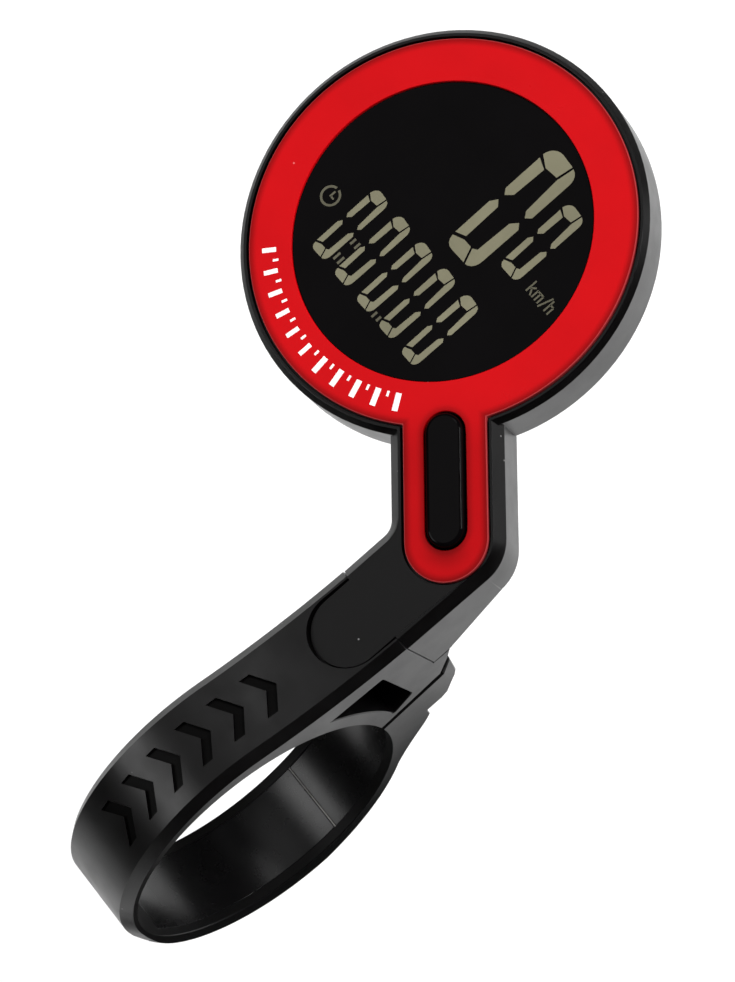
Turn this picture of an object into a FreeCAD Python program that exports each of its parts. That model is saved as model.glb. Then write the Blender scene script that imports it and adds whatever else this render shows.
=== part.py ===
# Cycling computer with an out-front handlebar bracket.
#
# Frame: millimetres, +Z up (normal to the display), +X along the handlebar
# (to the rider's right), +Y forward.  The origin is the centre of the
# handlebar clamp bore, half way along the clamp's width.
import FreeCAD, Part
import Sketcher
import math
import os

V = FreeCAD.Vector
Rot = FreeCAD.Rotation
doc = FreeCAD.newDocument("cycling_computer")

# --------------------------------------------------------------------------
# driving dimensions, all in millimetres or degrees
# --------------------------------------------------------------------------
SIZES = [
    # alias, value, meaning
    ("bore_rad", 15.9, "radius of a 31.8 mm handlebar, the clamp bore"),
    ("band_wide", 10.5, "width of the clamp band at the bore centre"),
    ("band_flare", 0.004, "growth of the half width per mm towards the front"),
    ("liner_thick", 0.5, "grip liner thickness"),
    ("liner_wide", 8.4, "grip liner width"),
    ("top_z", 14.2, "height of the bezel and of the arm's flat top"),
    ("head_x", -26.01, "centre of the round head"),
    ("head_y", 53.725, "centre of the round head"),
    ("head_rad", 21.6, "outer radius of the head"),
    ("wall_z", 8.5, "bottom of the head's side wall"),
    ("head_bevel", 0.55, "bevel round the head's rim"),
    ("neck_turn", 52.57, "angle of the neck from -Y towards +X"),
    ("neck_wide", 11.86, "neck width"),
    ("arm_bevel", 1.05, "bevel along the neck and the arm"),
    ("bend_out", 5.0, "outer bend radius in plan"),
    ("bend_in", 2.0, "inner bend radius in plan"),
    ("seam_y", 24.1, "rear end of the computer's arm stub at the top"),
    ("plate_rad", 20.5, "outer radius of the red plate"),
    ("window_rad", 15.92, "screen opening in the red plate"),
    ("plate_neck", 8.72, "width of the red plate on the neck"),
    ("plate_end", 32.36, "centre of the red plate's round end, from the head centre"),
    ("plate_thick", 0.8, "red plate thickness"),
    ("plate_gap", 0.25, "gap round the red plate"),
    ("slot_mid", 26.25, "centre of the button slot, from the head centre"),
    ("slot_wide", 4.4, "button slot width"),
    ("slot_long", 14.4, "button slot length"),
    ("button_wide", 3.9, "mode button width"),
    ("button_long", 13.9, "mode button length"),
    ("button_proud", 0.5, "height of the button above the plate"),
    ("cavity_rad", 19.6, "inside of the head above the rim step"),
    ("rim_rad", 20.25, "inside of the head below the rim step"),
    ("pcb_rad", 19.45, "circuit board radius"),
    ("pcb_low", 8.05, "underside of the circuit board"),
    ("pcb_thick", 0.8, "circuit board thickness"),
    ("screw_ring", 18.2, "radius of the case screws' circle"),
    ("cell_rad", 10.0, "coin cell radius"),
    ("cell_low", 4.25, "underside of the coin cell"),
    ("cover_rad", 11.6, "battery cover radius"),
    ("case_low", 3.0, "lowest face of the battery well"),
    ("tongue_wide", 7.8, "width of the tongue on the arm"),
    ("tongue_round", 20.85, "centre of the tongue's round end"),
    ("tongue_low", 12.72, "underside of the tongue"),
    ("bolt_y", 22.4, "clamp screw axis"),
    ("bolt_core", 0.8, "radius of the clamp screw's plain core"),
    ("bolt_hole", 1.25, "clearance hole radius for the clamp screw"),
    ("hinge_y", -17.42, "flex line at the rear of the band"),
]
sheet = doc.addObject("Spreadsheet::Sheet", "Spreadsheet")
for row, (alias, value, note) in enumerate(SIZES, start=1):
    sheet.set("A%d" % row, alias)
    sheet.set("B%d" % row, str(value))
    sheet.set("C%d" % row, note)
    sheet.setAlias("B%d" % row, alias)
doc.recompute()


class Q:
    """A number together with the sheet expression that gives it."""

    def __init__(self, v, e=None):
        self.v = float(v)
        self.e = e if e is not None else repr(float(v))

    def __add__(self, o):
        o = q(o)
        return Q(self.v + o.v, "(%s + %s)" % (self.e, o.e))

    def __sub__(self, o):
        o = q(o)
        return Q(self.v - o.v, "(%s - %s)" % (self.e, o.e))

    def __mul__(self, o):
        o = q(o)
        return Q(self.v * o.v, "(%s * %s)" % (self.e, o.e))

    def __truediv__(self, o):
        o = q(o)
        return Q(self.v / o.v, "(%s / %s)" % (self.e, o.e))

    def __neg__(self):
        return Q(-self.v, "(0 - %s)" % self.e)

    __radd__ = __add__

    def __rsub__(self, o):
        return q(o) - self


def q(x):
    return x if isinstance(x, Q) else Q(x)


def S(alias):
    return Q(float(sheet.get(alias)), "Spreadsheet." + alias)


def bind(obj, prop, x):
    x = q(x)
    obj.setExpression(prop, x.e)


# --------------------------------------------------------------------------
# frames
# --------------------------------------------------------------------------
HX, HY = S("head_x").v, S("head_y").v
TURN = math.radians(S("neck_turn").v)
ND = (math.sin(TURN), -math.cos(TURN))        # along the neck, away from the head
NN = (math.cos(TURN), math.sin(TURN))         # across the neck, to its right
NECK_DEG = S("neck_turn").v - 90.0            # neck direction from +X


def neck(s, c):
    """Plan position of a point s mm along and c mm across the neck."""
    return (HX + s * ND[0] + c * NN[0], HY + s * ND[1] + c * NN[1])


CROSS = Rot(V(1, 1, 1), 120.0)                # local X,Y,Z -> Y,Z,X


# --------------------------------------------------------------------------
# small builders
# --------------------------------------------------------------------------
def place(obj, x=0, y=0, z=0, rot=None):
    x, y, z = q(x), q(y), q(z)
    obj.Placement = FreeCAD.Placement(V(x.v, y.v, z.v), rot or Rot())
    bind(obj, "Placement.Base.x", x)
    bind(obj, "Placement.Base.y", y)
    bind(obj, "Placement.Base.z", z)
    return obj


def cyl(name, r, z0, z1, x=0, y=0, rot=None, angle=None):
    o = doc.addObject("Part::Cylinder", name)
    r, z0, z1 = q(r), q(z0), q(z1)
    bind(o, "Radius", r)
    bind(o, "Height", z1 - z0)
    if angle is not None:
        o.Angle = angle
    return place(o, x, y, z0, rot)


def head_cyl(name, r, z0, z1, dx=0, dy=0):
    return cyl(name, r, z0, z1, S("head_x") + dx, S("head_y") + dy)


def box(name, x0, x1, y0, y1, z0, z1):
    o = doc.addObject("Part::Box", name)
    x0, x1, y0, y1, z0, z1 = [q(k) for k in (x0, x1, y0, y1, z0, z1)]
    bind(o, "Length", x1 - x0)
    bind(o, "Width", y1 - y0)
    bind(o, "Height", z1 - z0)
    return place(o, x0, y0, z0)


def neck_box(name, s0, s1, half, z0, z1):
    """A box along the neck from s0 to s1, half wide each side."""
    o = doc.addObject("Part::Box", name)
    s0, s1, half, z0, z1 = [q(k) for k in (s0, s1, half, z0, z1)]
    bind(o, "Length", s1 - s0)
    bind(o, "Width", half * 2)
    bind(o, "Height", z1 - z0)
    p = neck(s0.v, -half.v)
    o.Placement = FreeCAD.Placement(V(p[0], p[1], z0.v), Rot(V(0, 0, 1), NECK_DEG))
    bind(o, "Placement.Base.z", z0)
    return o


def neck_cyl(name, s, r, z0, z1):
    o = doc.addObject("Part::Cylinder", name)
    s, r, z0, z1 = q(s), q(r), q(z0), q(z1)
    bind(o, "Radius", r)
    bind(o, "Height", z1 - z0)
    p = neck(s.v, 0.0)
    o.Placement = FreeCAD.Placement(V(p[0], p[1], z0.v), Rot())
    bind(o, "Placement.Base.z", z0)
    return o


def fuse(name, parts):
    o = doc.addObject("Part::MultiFuse", name)
    o.Shapes = parts
    o.Refine = True
    return o


def common(name, parts):
    o = doc.addObject("Part::MultiCommon", name)
    o.Shapes = parts
    return o


def cut(name, base, tools):
    tool = tools[0] if len(tools) == 1 else fuse(name + "_tools", tools)
    o = doc.addObject("Part::Cut", name)
    o.Base = base
    o.Tool = tool
    o.Refine = True
    return o


def keyhole(name, r, half, s_end, z0, z1):
    """A disc on the head joined to a round-ended strip down the neck."""
    return fuse(name, [head_cyl(name + "_disc", r, z0, z1),
                       neck_box(name + "_strip", 0, s_end, half, z0, z1),
                       neck_cyl(name + "_end", s_end, half, z0, z1)])


def plane_of(body, role):
    for f in body.Origin.OriginFeatures:
        if f.Role == role:
            return f
    raise RuntimeError(role)


def new_sketch(body, name, role, off):
    s = body.newObject("Sketcher::SketchObject", name)
    s.AttachmentSupport = [(plane_of(body, role), "")]
    s.MapMode = "FlatFace"
    off = q(off)
    s.AttachmentOffset = FreeCAD.Placement(V(0, 0, off.v), Rot())
    bind(s, "AttachmentOffset.Base.z", off)
    return s


def draw(sk, start, segs):
    """A closed path.  segs: ("L", end) or ("A", mid, end); points are (a, b)."""
    def vec(p):
        return V(q(p[0]).v, q(p[1]).v, 0)
    cur = start
    ids = []
    for seg in segs:
        if seg[0] == "L":
            ids.append(sk.addGeometry(Part.LineSegment(vec(cur), vec(seg[1])), False))
        else:
            a, m, e = vec(cur), vec(seg[1]), vec(seg[2])
            # arcs are always laid down counter-clockwise
            if (m - a).cross(e - a).z < 0:
                a, e = e, a
            arc = Part.Arc(a, m, e)
            ids.append(sk.addGeometry(arc, False))
        cur = seg[-1]
    # join the ends; an arc may run either way round, so ends are matched
    def ends(i):
        g = sk.Geometry[i]
        return [(1, g.StartPoint), (2, g.EndPoint)]
    n = len(ids)
    for k in range(n):
        a, b = ids[k], ids[(k + 1) % n]
        best = None
        for pa, va in ends(a):
            for pb, vb in ends(b):
                d = va.distanceToPoint(vb)
                if best is None or d < best[0]:
                    best = (d, pa, pb)
        sk.addConstraint(Sketcher.Constraint("Coincident", a, best[1], b, best[2]))
    # bind the vertices whose coordinates come from the sheet
    cur = start
    for k, seg in enumerate(segs):
        for axis, kind in ((0, "DistanceX"), (1, "DistanceY")):
            c = cur[axis]
            if isinstance(c, Q):
                pos = None
                for p, v in ends(ids[k]):
                    if v.distanceToPoint(vec(cur)) < 1e-6:
                        pos = p
                if pos is None or abs(c.v) < 1e-9:
                    continue
                i = sk.addConstraint(Sketcher.Constraint(kind, -1, 1, ids[k], pos, c.v))
                sk.setExpression("Constraints[%d]" % i, c.e)
        cur = seg[-1]
    return ids


def pad(body, name, sk, length, reverse=False):
    p = body.newObject("PartDesign::Pad", name)
    p.Profile = (sk, [""])
    length = q(length)
    p.Length = length.v
    bind(p, "Length", length)
    p.Reversed = reverse
    body.Tip = p
    return p


def pocket(body, name, sk, length, reverse=False):
    p = body.newObject("PartDesign::Pocket", name)
    p.Profile = (sk, [""])
    length = q(length)
    p.Length = length.v
    bind(p, "Length", length)
    p.Reversed = reverse
    body.Tip = p
    return p


def poly(pts):
    return pts[0], [("L", p) for p in pts[1:]] + [("L", pts[0])]


def prism(name, role, pts, lo, hi):
    """A straight-sided body drawn on an origin plane from lo to hi."""
    b = doc.addObject("PartDesign::Body", name)
    sk = new_sketch(b, name + "_sketch", role, lo)
    st, segs = poly(pts)
    draw(sk, st, segs)
    pad(b, name + "_pad", sk, q(hi) - q(lo))
    return b


def obround(name, wide, long_, z0, z1):
    """A round-ended bar along local X, centred on the local origin."""
    b = doc.addObject("PartDesign::Body", name)
    sk = new_sketch(b, name + "_sketch", "XY_Plane", z0)
    w, k = q(wide) / 2, q(long_) / 2 - q(wide) / 2
    draw(sk, (-k, -w), [("L", (k, -w)),
                        ("A", ((k + w).v, 0.0), (k, w)),
                        ("L", (-k, w)),
                        ("A", (-(k + w).v, 0.0), (-k, -w))])
    pad(b, name + "_pad", sk, q(z1) - q(z0))
    return b


def to_slot(obj):
    """Move a local body to the button slot, its X along the neck."""
    p = neck(S("slot_mid").v, 0.0)
    obj.Placement = FreeCAD.Placement(V(p[0], p[1], 0), Rot(V(0, 0, 1), NECK_DEG))
    return obj


NODES = []


def node(obj, label):
    obj.Label = label
    NODES.append(obj)
    return obj


def arc_mid(cx, cy, r, a0, a1):
    a = math.radians((a0 + a1) / 2.0)
    return (cx + r * math.cos(a), cy + r * math.sin(a))


top = S("top_z")
wall = S("wall_z")
shelf_top = top - S("plate_thick") - 0.05      # floor of the plate's recess

# --------------------------------------------------------------------------
# upper case: bezel, neck, arm stub, tongue and peg in one moulding
# --------------------------------------------------------------------------
disc = head_cyl("bezel_disc", S("head_rad"), wall, top)
disc_bevel = doc.addObject("Part::Chamfer", "bezel_bevel")
disc_bevel.Base = disc
doc.recompute()


def edges_where(shape, test):
    return [i for i, e in enumerate(shape.Edges, start=1) if test(e)]


ids = edges_where(disc.Shape, lambda e: e.Curve.TypeId == "Part::GeomCircle"
                  and abs(e.CenterOfMass.z - top.v) < 1e-3)
ids_low = edges_where(disc.Shape, lambda e: e.Curve.TypeId == "Part::GeomCircle"
                      and abs(e.CenterOfMass.z - wall.v) < 1e-3)
b = S("head_bevel").v
disc_bevel.Edges = [(i, b, b) for i in ids] + [(i, 0.3, 0.3) for i in ids_low]

# plan of the neck and the arm stub, as one strip with two bends
half_neck = S("neck_wide").v / 2.0
w0, flare = S("band_wide").v / 2.0, S("band_flare").v
seam_y = S("seam_y").v


def arm_x(y, side):
    return side * (w0 + flare * y)


def bend(side, r):
    """Tangent points and arc middle where a neck edge meets an arm edge."""
    # neck edge: neck(s, c) with c = side*half_neck; arm edge: x = arm_x(y)
    c = side * half_neck
    s = 30.0
    for _ in range(60):
        x, y = neck(s, c)
        s += (arm_x(y, side) - x) / ND[0]
    cx, cy = neck(s, c)
    u = (-ND[0], -ND[1])                        # back up the neck
    n = math.hypot(flare, 1.0)
    w = (-side * flare / n, -1.0 / n)           # down the arm
    dot = u[0] * w[0] + u[1] * w[1]
    ang = math.acos(dot)
    t = r / math.tan(ang / 2.0)
    p1 = (cx + u[0] * t, cy + u[1] * t)
    p2 = (cx + w[0] * t, cy + w[1] * t)
    bx, by = u[0] + w[0], u[1] + w[1]
    bl = math.hypot(bx, by)
    d = r / math.sin(ang / 2.0)
    mid = (cx + bx / bl * (d - r), cy + by / bl * (d - r))
    return p1, mid, p2


l1, lm, l2 = bend(-1, S("bend_in").v)
r1, rm, r2 = bend(+1, S("bend_out").v)
strip = doc.addObject("PartDesign::Body", "neck_and_arm")
sk = new_sketch(strip, "strip_plan", "XY_Plane", 5.4)
draw(sk, neck(15.0, -half_neck), [
    ("L", l1), ("A", lm, l2),
    ("L", (arm_x(seam_y, -1), S("seam_y"))),
    ("L", (arm_x(seam_y, 1), S("seam_y"))),
    ("L", r2), ("A", rm, r1),
    ("L", neck(15.0, half_neck)), ("L", neck(15.0, -half_neck))])
pad(strip, "strip_pad", sk, top - 5.4)
doc.recompute()
shape = strip.Tip.Shape


def outer_top(e):
    b = e.BoundBox
    if abs(b.ZMin - top.v) > 1e-3 or abs(b.ZMax - top.v) > 1e-3:
        return False
    m = e.CenterOfMass
    if m.y < seam_y + 0.05:
        return False                            # the seam end
    s = (m.x - HX) * ND[0] + (m.y - HY) * ND[1]
    return s > 15.2                             # not the end inside the head


bev = strip.newObject("PartDesign::Chamfer", "strip_bevel")
bev.Base = (strip.Group[1], ["Edge%d" % i for i in edges_where(shape, outer_top)])
bev.Size = S("arm_bevel").v
bind(bev, "Size", S("arm_bevel"))
strip.Tip = bev
doc.recompute()
# underside: flat under the head and neck, then sloping down to the bracket
sk = new_sketch(strip, "underside_plan", "YZ_Plane", -60)
st, segs = poly([(20, 0), (90, 0), (90, wall), (34.9, wall), (26.9, 5.45), (20, 5.45)])
draw(sk, st, segs)
pocket(strip, "underside_cut", sk, 90, reverse=True)
# rear end leans forward towards the bottom
sk = new_sketch(strip, "rear_plan", "YZ_Plane", -20)
st, segs = poly([(22.0, 14.6), (24.07, 14.6), (24.1, 14.2), (24.7, 5.4), (24.7, 5.0), (22.0, 5.0)])
draw(sk, st, segs)
pocket(strip, "rear_cut", sk, 40, reverse=True)
doc.recompute()

# tongue: a round-ended plate with side flanges that slide in the bracket
tw = S("tongue_wide") / 2
ty = S("tongue_round")


def tongue(name, half, z0, z1, y1):
    half = q(half)
    return fuse(name, [box(name + "_bar", -half, half, ty, y1, z0, z1),
                       cyl(name + "_nose", half, z0, z1, 0, ty)])


tongue_top = tongue("tongue_top", tw, S("tongue_low") + 0.6, top, 25.6)
tongue_low = tongue("tongue_flange", tw + 0.45, S("tongue_low"), S("tongue_low") + 0.65, 25.6)
peg = box("tail_peg", -2.4, 2.4, 21.9, 26.0, 7.5, 11.0)

outer = fuse("upper_outer", [disc_bevel, strip, tongue_top, tongue_low, peg])

# recess for the red plate
g = S("plate_gap")
recess = keyhole("plate_recess", S("plate_rad") + g, S("plate_neck") / 2 + g,
                 S("plate_end"), shelf_top, top + 2)
window = head_cyl("window_hole", 16.2, 5, 20)
lens_seat = head_cyl("lens_seat", 17.4, 12.3, 20)
head_cavity = head_cyl("head_cavity", S("cavity_rad"), 4, 11.5)
rim_step = keyhole("rim_step", S("rim_rad"), 4.6, 31.5, 4, 9.3)
neck_cavity = fuse("neck_cavity", [neck_box("neck_cavity_bar", 14, 31.5, 4.1, 4, 12.2),
                                   neck_cyl("neck_cavity_end", 31.5, 4.1, 4, 12.2)])
# the cavity rises into the shelf only beyond the lens
shelf_keep = head_cyl("shelf_keep", 17.75, 11.5, 12.3)
neck_cavity = cut("neck_cavity_cut", neck_cavity, [shelf_keep])
slot_cut = to_slot(obround("button_slot", S("slot_wide"), S("slot_long"), 11, 15))
case_blank = cut("upper_blank", outer, [recess, window, lens_seat, head_cavity,
                                        rim_step, neck_cavity, slot_cut])
# screw bosses under the shelf
bosses = []
for i in range(4):
    a = math.radians(90.0 * i)
    dx = S("screw_ring") * round(math.cos(a))
    dy = S("screw_ring") * round(math.sin(a))
    bosses.append(head_cyl("boss_%d" % i, 1.5, 8.9, 11.7, dx, dy))
boss_holes = []
for i in range(4):
    a = math.radians(90.0 * i)
    dx = S("screw_ring") * round(math.cos(a))
    dy = S("screw_ring") * round(math.sin(a))
    boss_holes.append(head_cyl("boss_hole_%d" % i, 0.8, 5, 11.3, dx, dy))
boss_set = common("boss_set", [fuse("boss_all", bosses),
                               head_cyl("boss_limit", S("rim_rad") - 0.05, 8.9, 11.7)])
case_full = fuse("upper_full", [case_blank, boss_set])
upper_case = node(cut("upper_case", case_full, boss_holes), "upper_case")

# --------------------------------------------------------------------------
# lower case: inset back cover with the battery well
# --------------------------------------------------------------------------
lc_plate = keyhole("back_plate", S("rim_rad") - 0.1, 4.5, 31.5, 6.9, 8.9)
lc_hollow = keyhole("back_hollow", S("pcb_rad") + 0.2, 4.0, 31.5, 7.9, 9.5)
lc_well = head_cyl("well_outer", 13.2, S("case_low"), 7.9)
lc_body = fuse("back_body", [cut("back_tray", lc_plate, [lc_hollow]), lc_well])
lc_posts = []
for i in range(4):
    a = math.radians(90.0 * i)
    dx = S("screw_ring") * round(math.cos(a))
    dy = S("screw_ring") * round(math.sin(a))
    lc_posts.append(head_cyl("post_%d" % i, 1.7, 7.5, S("pcb_low"), dx, dy))
lc_solid = fuse("back_solid", [lc_body] + lc_posts)
lc_tools = [head_cyl("well_bore", S("cell_rad") + 0.35, 4.35, 7.5),
            head_cyl("well_lip", 9.0, 7.0, 9.0),
            head_cyl("cover_seat", S("cover_rad") + 0.15, S("case_low") - 1, 4.35),
            head_cyl("lug_groove", S("cover_rad") + 0.8, 3.5, 4.1)]
for i in range(4):
    a = math.radians(90.0 * i)
    dx = S("screw_ring") * round(math.cos(a))
    dy = S("screw_ring") * round(math.sin(a))
    lc_tools.append(head_cyl("screw_hole_%d" % i, 1.0, 5, 9, dx, dy))
    lc_tools.append(head_cyl("screw_sink_%d" % i, 1.55, 5, 7.6, dx, dy))


def sector(name, r, z0, z1, start, sweep):
    """A cylinder sector on the head's axis."""
    o = doc.addObject("Part::Cylinder", name)
    r, z0, z1 = q(r), q(z0), q(z1)
    bind(o, "Radius", r)
    bind(o, "Height", z1 - z0)
    o.Angle = sweep
    o.Placement = FreeCAD.Placement(V(HX, HY, z0.v), Rot(V(0, 0, 1), start))
    bind(o, "Placement.Base.x", S("head_x"))
    bind(o, "Placement.Base.y", S("head_y"))
    bind(o, "Placement.Base.z", z0)
    return o


LUGS = (20.0, 140.0, 260.0)
for k, a in enumerate(LUGS):
    lc_tools.append(sector("lug_entry_%d" % k, S("cover_rad") + 0.8, 2, 3.6, a - 49.0, 34.0))
# slot in the well's wall for the positive contact
lc_tools.append(box("contact_slot", S("head_x") - 1.7, S("head_x") + 1.7,
                    S("head_y") + 10.0, S("head_y") + 11.4, 4.6, 9.0))
lower_case = node(cut("lower_case", lc_solid, lc_tools), "lower_case")

# gasket in the step of the rim
gasket_out = keyhole("gasket_out", S("rim_rad") - 0.03, 4.57, 31.5, 8.92, 9.28)
gasket_in = keyhole("gasket_in", S("pcb_rad") + 0.2, 4.1, 31.5, 8, 10)
gasket_tools = [gasket_in]
for i in range(4):
    a = math.radians(90.0 * i)
    dx = S("screw_ring") * round(math.cos(a))
    dy = S("screw_ring") * round(math.sin(a))
    gasket_tools.append(head_cyl("gasket_notch_%d" % i, 1.62, 8, 10, dx, dy))
node(cut("case_gasket", gasket_out, gasket_tools), "case_gasket")

# --------------------------------------------------------------------------
# red plate and window
# --------------------------------------------------------------------------
plate_blank = keyhole("plate_blank", S("plate_rad"), S("plate_neck") / 2,
                      S("plate_end"), top - S("plate_thick"), top)
plate_hole = head_cyl("plate_hole", S("window_rad"), 10, 20)
plate_slot = to_slot(obround("plate_slot", S("slot_wide"), S("slot_long"), 12, 16))
node(cut("face_plate", plate_blank, [plate_hole, plate_slot]), "face_plate")

lens = fuse("display_lens", [
    head_cyl("lens_flange", 17.3, 12.35, 13.35),
    head_cyl("lens_face", S("window_rad") - 0.06, 13.3, top - 0.25)])
node(lens, "display_lens")

# --------------------------------------------------------------------------
# display stack
# --------------------------------------------------------------------------


def lcd_sheet(name, dy0, dy1, halfx, rad, z0, z1):
    return common(name, [
        box(name + "_rect", S("head_x") - halfx, S("head_x") + halfx,
            S("head_y") + dy0, S("head_y") + dy1, z0, z1),
        head_cyl(name + "_round", rad, z0, z1)])


node(lcd_sheet("lcd_front_polarizer", -12.1, 14.2, 15.1, 16.8, 11.15, 11.35), "lcd_front_polarizer")
node(lcd_sheet("lcd_front_glass", -12.3, 14.4, 15.3, 17.0, 10.55, 11.15), "lcd_front_glass")
node(lcd_sheet("lcd_rear_glass", -9.8, 14.4, 15.3, 17.0, 9.95, 10.55), "lcd_rear_glass")
node(lcd_sheet("lcd_reflector", -9.6, 14.2, 15.1, 16.8, 9.75, 9.95), "lcd_reflector")
node(box("zebra_connector", S("head_x") - 10.5, S("head_x") + 10.5,
         S("head_y") - 12.0, S("head_y") - 10.4, S("pcb_low") + S("pcb_thick"), 10.55),
     "zebra_connector")

frame_disc = head_cyl("frame_disc", 17.7, 8.9, 11.42)
frame_open = lcd_sheet("frame_open", -12.35, 14.45, 15.35, 17.08, 8, 13)
frame_tools = [frame_open]
for i in range(4):
    a = math.radians(90.0 * i)
    dx = S("screw_ring") * round(math.cos(a))
    dy = S("screw_ring") * round(math.sin(a))
    frame_tools.append(head_cyl("frame_notch_%d" % i, 1.85, 8, 13, dx, dy))
node(cut("lcd_frame", frame_disc, frame_tools), "lcd_frame")

# --------------------------------------------------------------------------
# circuit board and what is on it
# --------------------------------------------------------------------------
pcb_top = S("pcb_low") + S("pcb_thick")
pcb_blank = keyhole("pcb_blank", S("pcb_rad"), 3.9, 31.0, S("pcb_low"), pcb_top)
pcb_tools = []
for i in range(4):
    a = math.radians(90.0 * i)
    dx = S("screw_ring") * round(math.cos(a))
    dy = S("screw_ring") * round(math.sin(a))
    pcb_tools.append(head_cyl("pcb_notch_%d" % i, 1.3, 6, 10, dx, dy))
node(cut("main_pcb", pcb_blank, pcb_tools), "main_pcb")

node(box("mcu_chip", S("head_x") - 1.5, S("head_x") + 5.5, S("head_y") - 2.0,
         S("head_y") + 5.0, pcb_top, pcb_top + 0.8), "mcu_chip")
node(box("clock_crystal", S("head_x") - 6.5, S("head_x") - 3.3, S("head_y") + 1.0,
         S("head_y") + 2.5, pcb_top, pcb_top + 0.75), "clock_crystal")
node(box("antenna_coil", S("head_x") - 6.0, S("head_x") + 6.0, S("head_y") + 10.0,
         S("head_y") + 12.2, pcb_top, pcb_top + 0.85), "antenna_coil")
caps = [box("capacitor_%d" % i, S("head_x") + (-5.0 + 2.6 * i), S("head_x") + (-3.4 + 2.6 * i),
            S("head_y") - 5.6, S("head_y") - 4.8, pcb_top, pcb_top + 0.6) for i in range(5)]
cap_set = doc.addObject("Part::Compound", "chip_capacitors")
cap_set.Links = caps
node(cap_set, "chip_capacitors")

# switch under the button
sw = neck_box("switch_body", S("slot_mid") - 2.2, S("slot_mid") + 2.2, 2.2, pcb_top, 10.0)
node(cut("tact_switch", sw, [neck_cyl("switch_bore", S("slot_mid"), 1.1, 9.1, 12)]), "tact_switch")
node(neck_cyl("switch_plunger", S("slot_mid"), 1.04, 9.5, 10.5), "switch_plunger")

# --------------------------------------------------------------------------
# mode button and its boot
# --------------------------------------------------------------------------
btn = doc.addObject("PartDesign::Body", "mode_button")


def ob_path(wide, long_):
    w, k = q(wide) / 2, q(long_) / 2 - q(wide) / 2
    return (-k, -w), [("L", (k, -w)), ("A", ((k + w).v, 0.0), (k, w)),
                      ("L", (-k, w)), ("A", (-(k + w).v, 0.0), (-k, -w))]


sk = new_sketch(btn, "button_cap_plan", "XY_Plane", 11.6)
st, segs = ob_path(S("button_wide"), S("button_long"))
draw(sk, st, segs)
cap = pad(btn, "button_cap", sk, top + S("button_proud") - 11.6)
doc.recompute()
sel = edges_where(cap.Shape, lambda e: abs(e.BoundBox.ZMin - (top + S("button_proud")).v) < 1e-3)
rnd = btn.newObject("PartDesign::Fillet", "button_crown")
rnd.Base = (cap, ["Edge%d" % i for i in sel])
rnd.Radius = 0.45
btn.Tip = rnd
doc.recompute()
sk = new_sketch(btn, "button_flange_plan", "XY_Plane", 11.2)
st, segs = ob_path(S("button_wide") + 1.4, S("button_long") + 1.4)
draw(sk, st, segs)
pad(btn, "button_flange", sk, 0.8)
sk = new_sketch(btn, "button_stem_plan", "XY_Plane", 10.55)
ci = sk.addGeometry(Part.Circle(V(0, 0, 0), V(0, 0, 1), 1.4), False)
sk.addConstraint(Sketcher.Constraint("Coincident", ci, 3, -1, 1))
sk.addConstraint(Sketcher.Constraint("Radius", ci, 1.4))
pad(btn, "button_stem", sk, 0.8)
to_slot(btn)
node(btn, "mode_button")

boot = doc.addObject("PartDesign::Body", "button_boot")
sk = new_sketch(boot, "boot_plan", "XY_Plane", 10.35)
st, segs = ob_path(7.4, 16.6)
draw(sk, st, segs)
pad(boot, "boot_block", sk, 1.8)
sk = new_sketch(boot, "boot_hollow_plan", "XY_Plane", 12.15)
st, segs = ob_path(6.4, 15.9)
draw(sk, st, segs)
pocket(boot, "boot_hollow", sk, 1.4)
sk = new_sketch(boot, "boot_hole_plan", "XY_Plane", 12.15)
ci = sk.addGeometry(Part.Circle(V(0, 0, 0), V(0, 0, 1), 1.65), False)
sk.addConstraint(Sketcher.Constraint("Coincident", ci, 3, -1, 1))
sk.addConstraint(Sketcher.Constraint("Radius", ci, 1.65))
pocket(boot, "boot_hole", sk, 3)
to_slot(boot)
node(boot, "button_boot")

# --------------------------------------------------------------------------
# battery, contacts, cover
# --------------------------------------------------------------------------
cell_top = S("cell_low") + 3.2
node(fuse("coin_cell", [head_cyl("cell_can", S("cell_rad"), S("cell_low"), cell_top - 0.4),
                        head_cyl("cell_cap", 8.8, cell_top - 0.45, cell_top)]), "coin_cell")
neg = fuse("contact_minus", [
    box("minus_foot", S("head_x") - 5.0, S("head_x") + 1.0, S("head_y") - 1.6,
        S("head_y") + 1.6, 7.85, S("pcb_low")),
    prism("minus_leaf", "XZ_Plane",
          [(HX + 0.8, 7.95), (HX + 5.6, 7.66), (HX + 6.8, 7.72), (HX + 6.8, 7.6),
           (HX + 5.6, 7.47), (HX + 0.8, 7.85)], -(HY + 1.2), -(HY - 1.2))])
node(neg, "contact_minus")
pos = fuse("contact_plus", [
    box("plus_strip", S("head_x") - 1.5, S("head_x") + 1.5, S("head_y") + 10.04,
        S("head_y") + 10.32, 4.75, S("pcb_low")),
    box("plus_foot", S("head_x") - 1.5, S("head_x") + 1.5, S("head_y") + 10.04,
        S("head_y") + 11.3, 7.82, S("pcb_low"))])
node(pos, "contact_plus")

cover_blank = fuse("cover_blank", [
    head_cyl("cover_disc", S("cover_rad"), S("case_low"), 4.15),
    common("cover_lugs", [
        fuse("lug_sectors", [sector("lug_%d" % k, S("cover_rad") + 0.65, 3.56, 4.04, a, 28.0)
                             for k, a in enumerate(LUGS)]),
        head_cyl("lug_limit", S("cover_rad") + 0.65, 3.56, 4.04)])])
coin_slot = box("coin_slot", S("head_x") - 7.0, S("head_x") + 7.0, S("head_y") - 0.9,
                S("head_y") + 0.9, 2.0, 3.65)
node(cut("battery_cover", cover_blank, [coin_slot]), "battery_cover")
node(cut("cover_seal", head_cyl("seal_out", S("cover_rad") + 0.05, 4.18, 4.35),
         [head_cyl("seal_in", 10.6, 4, 5)]), "cover_seal")

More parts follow.
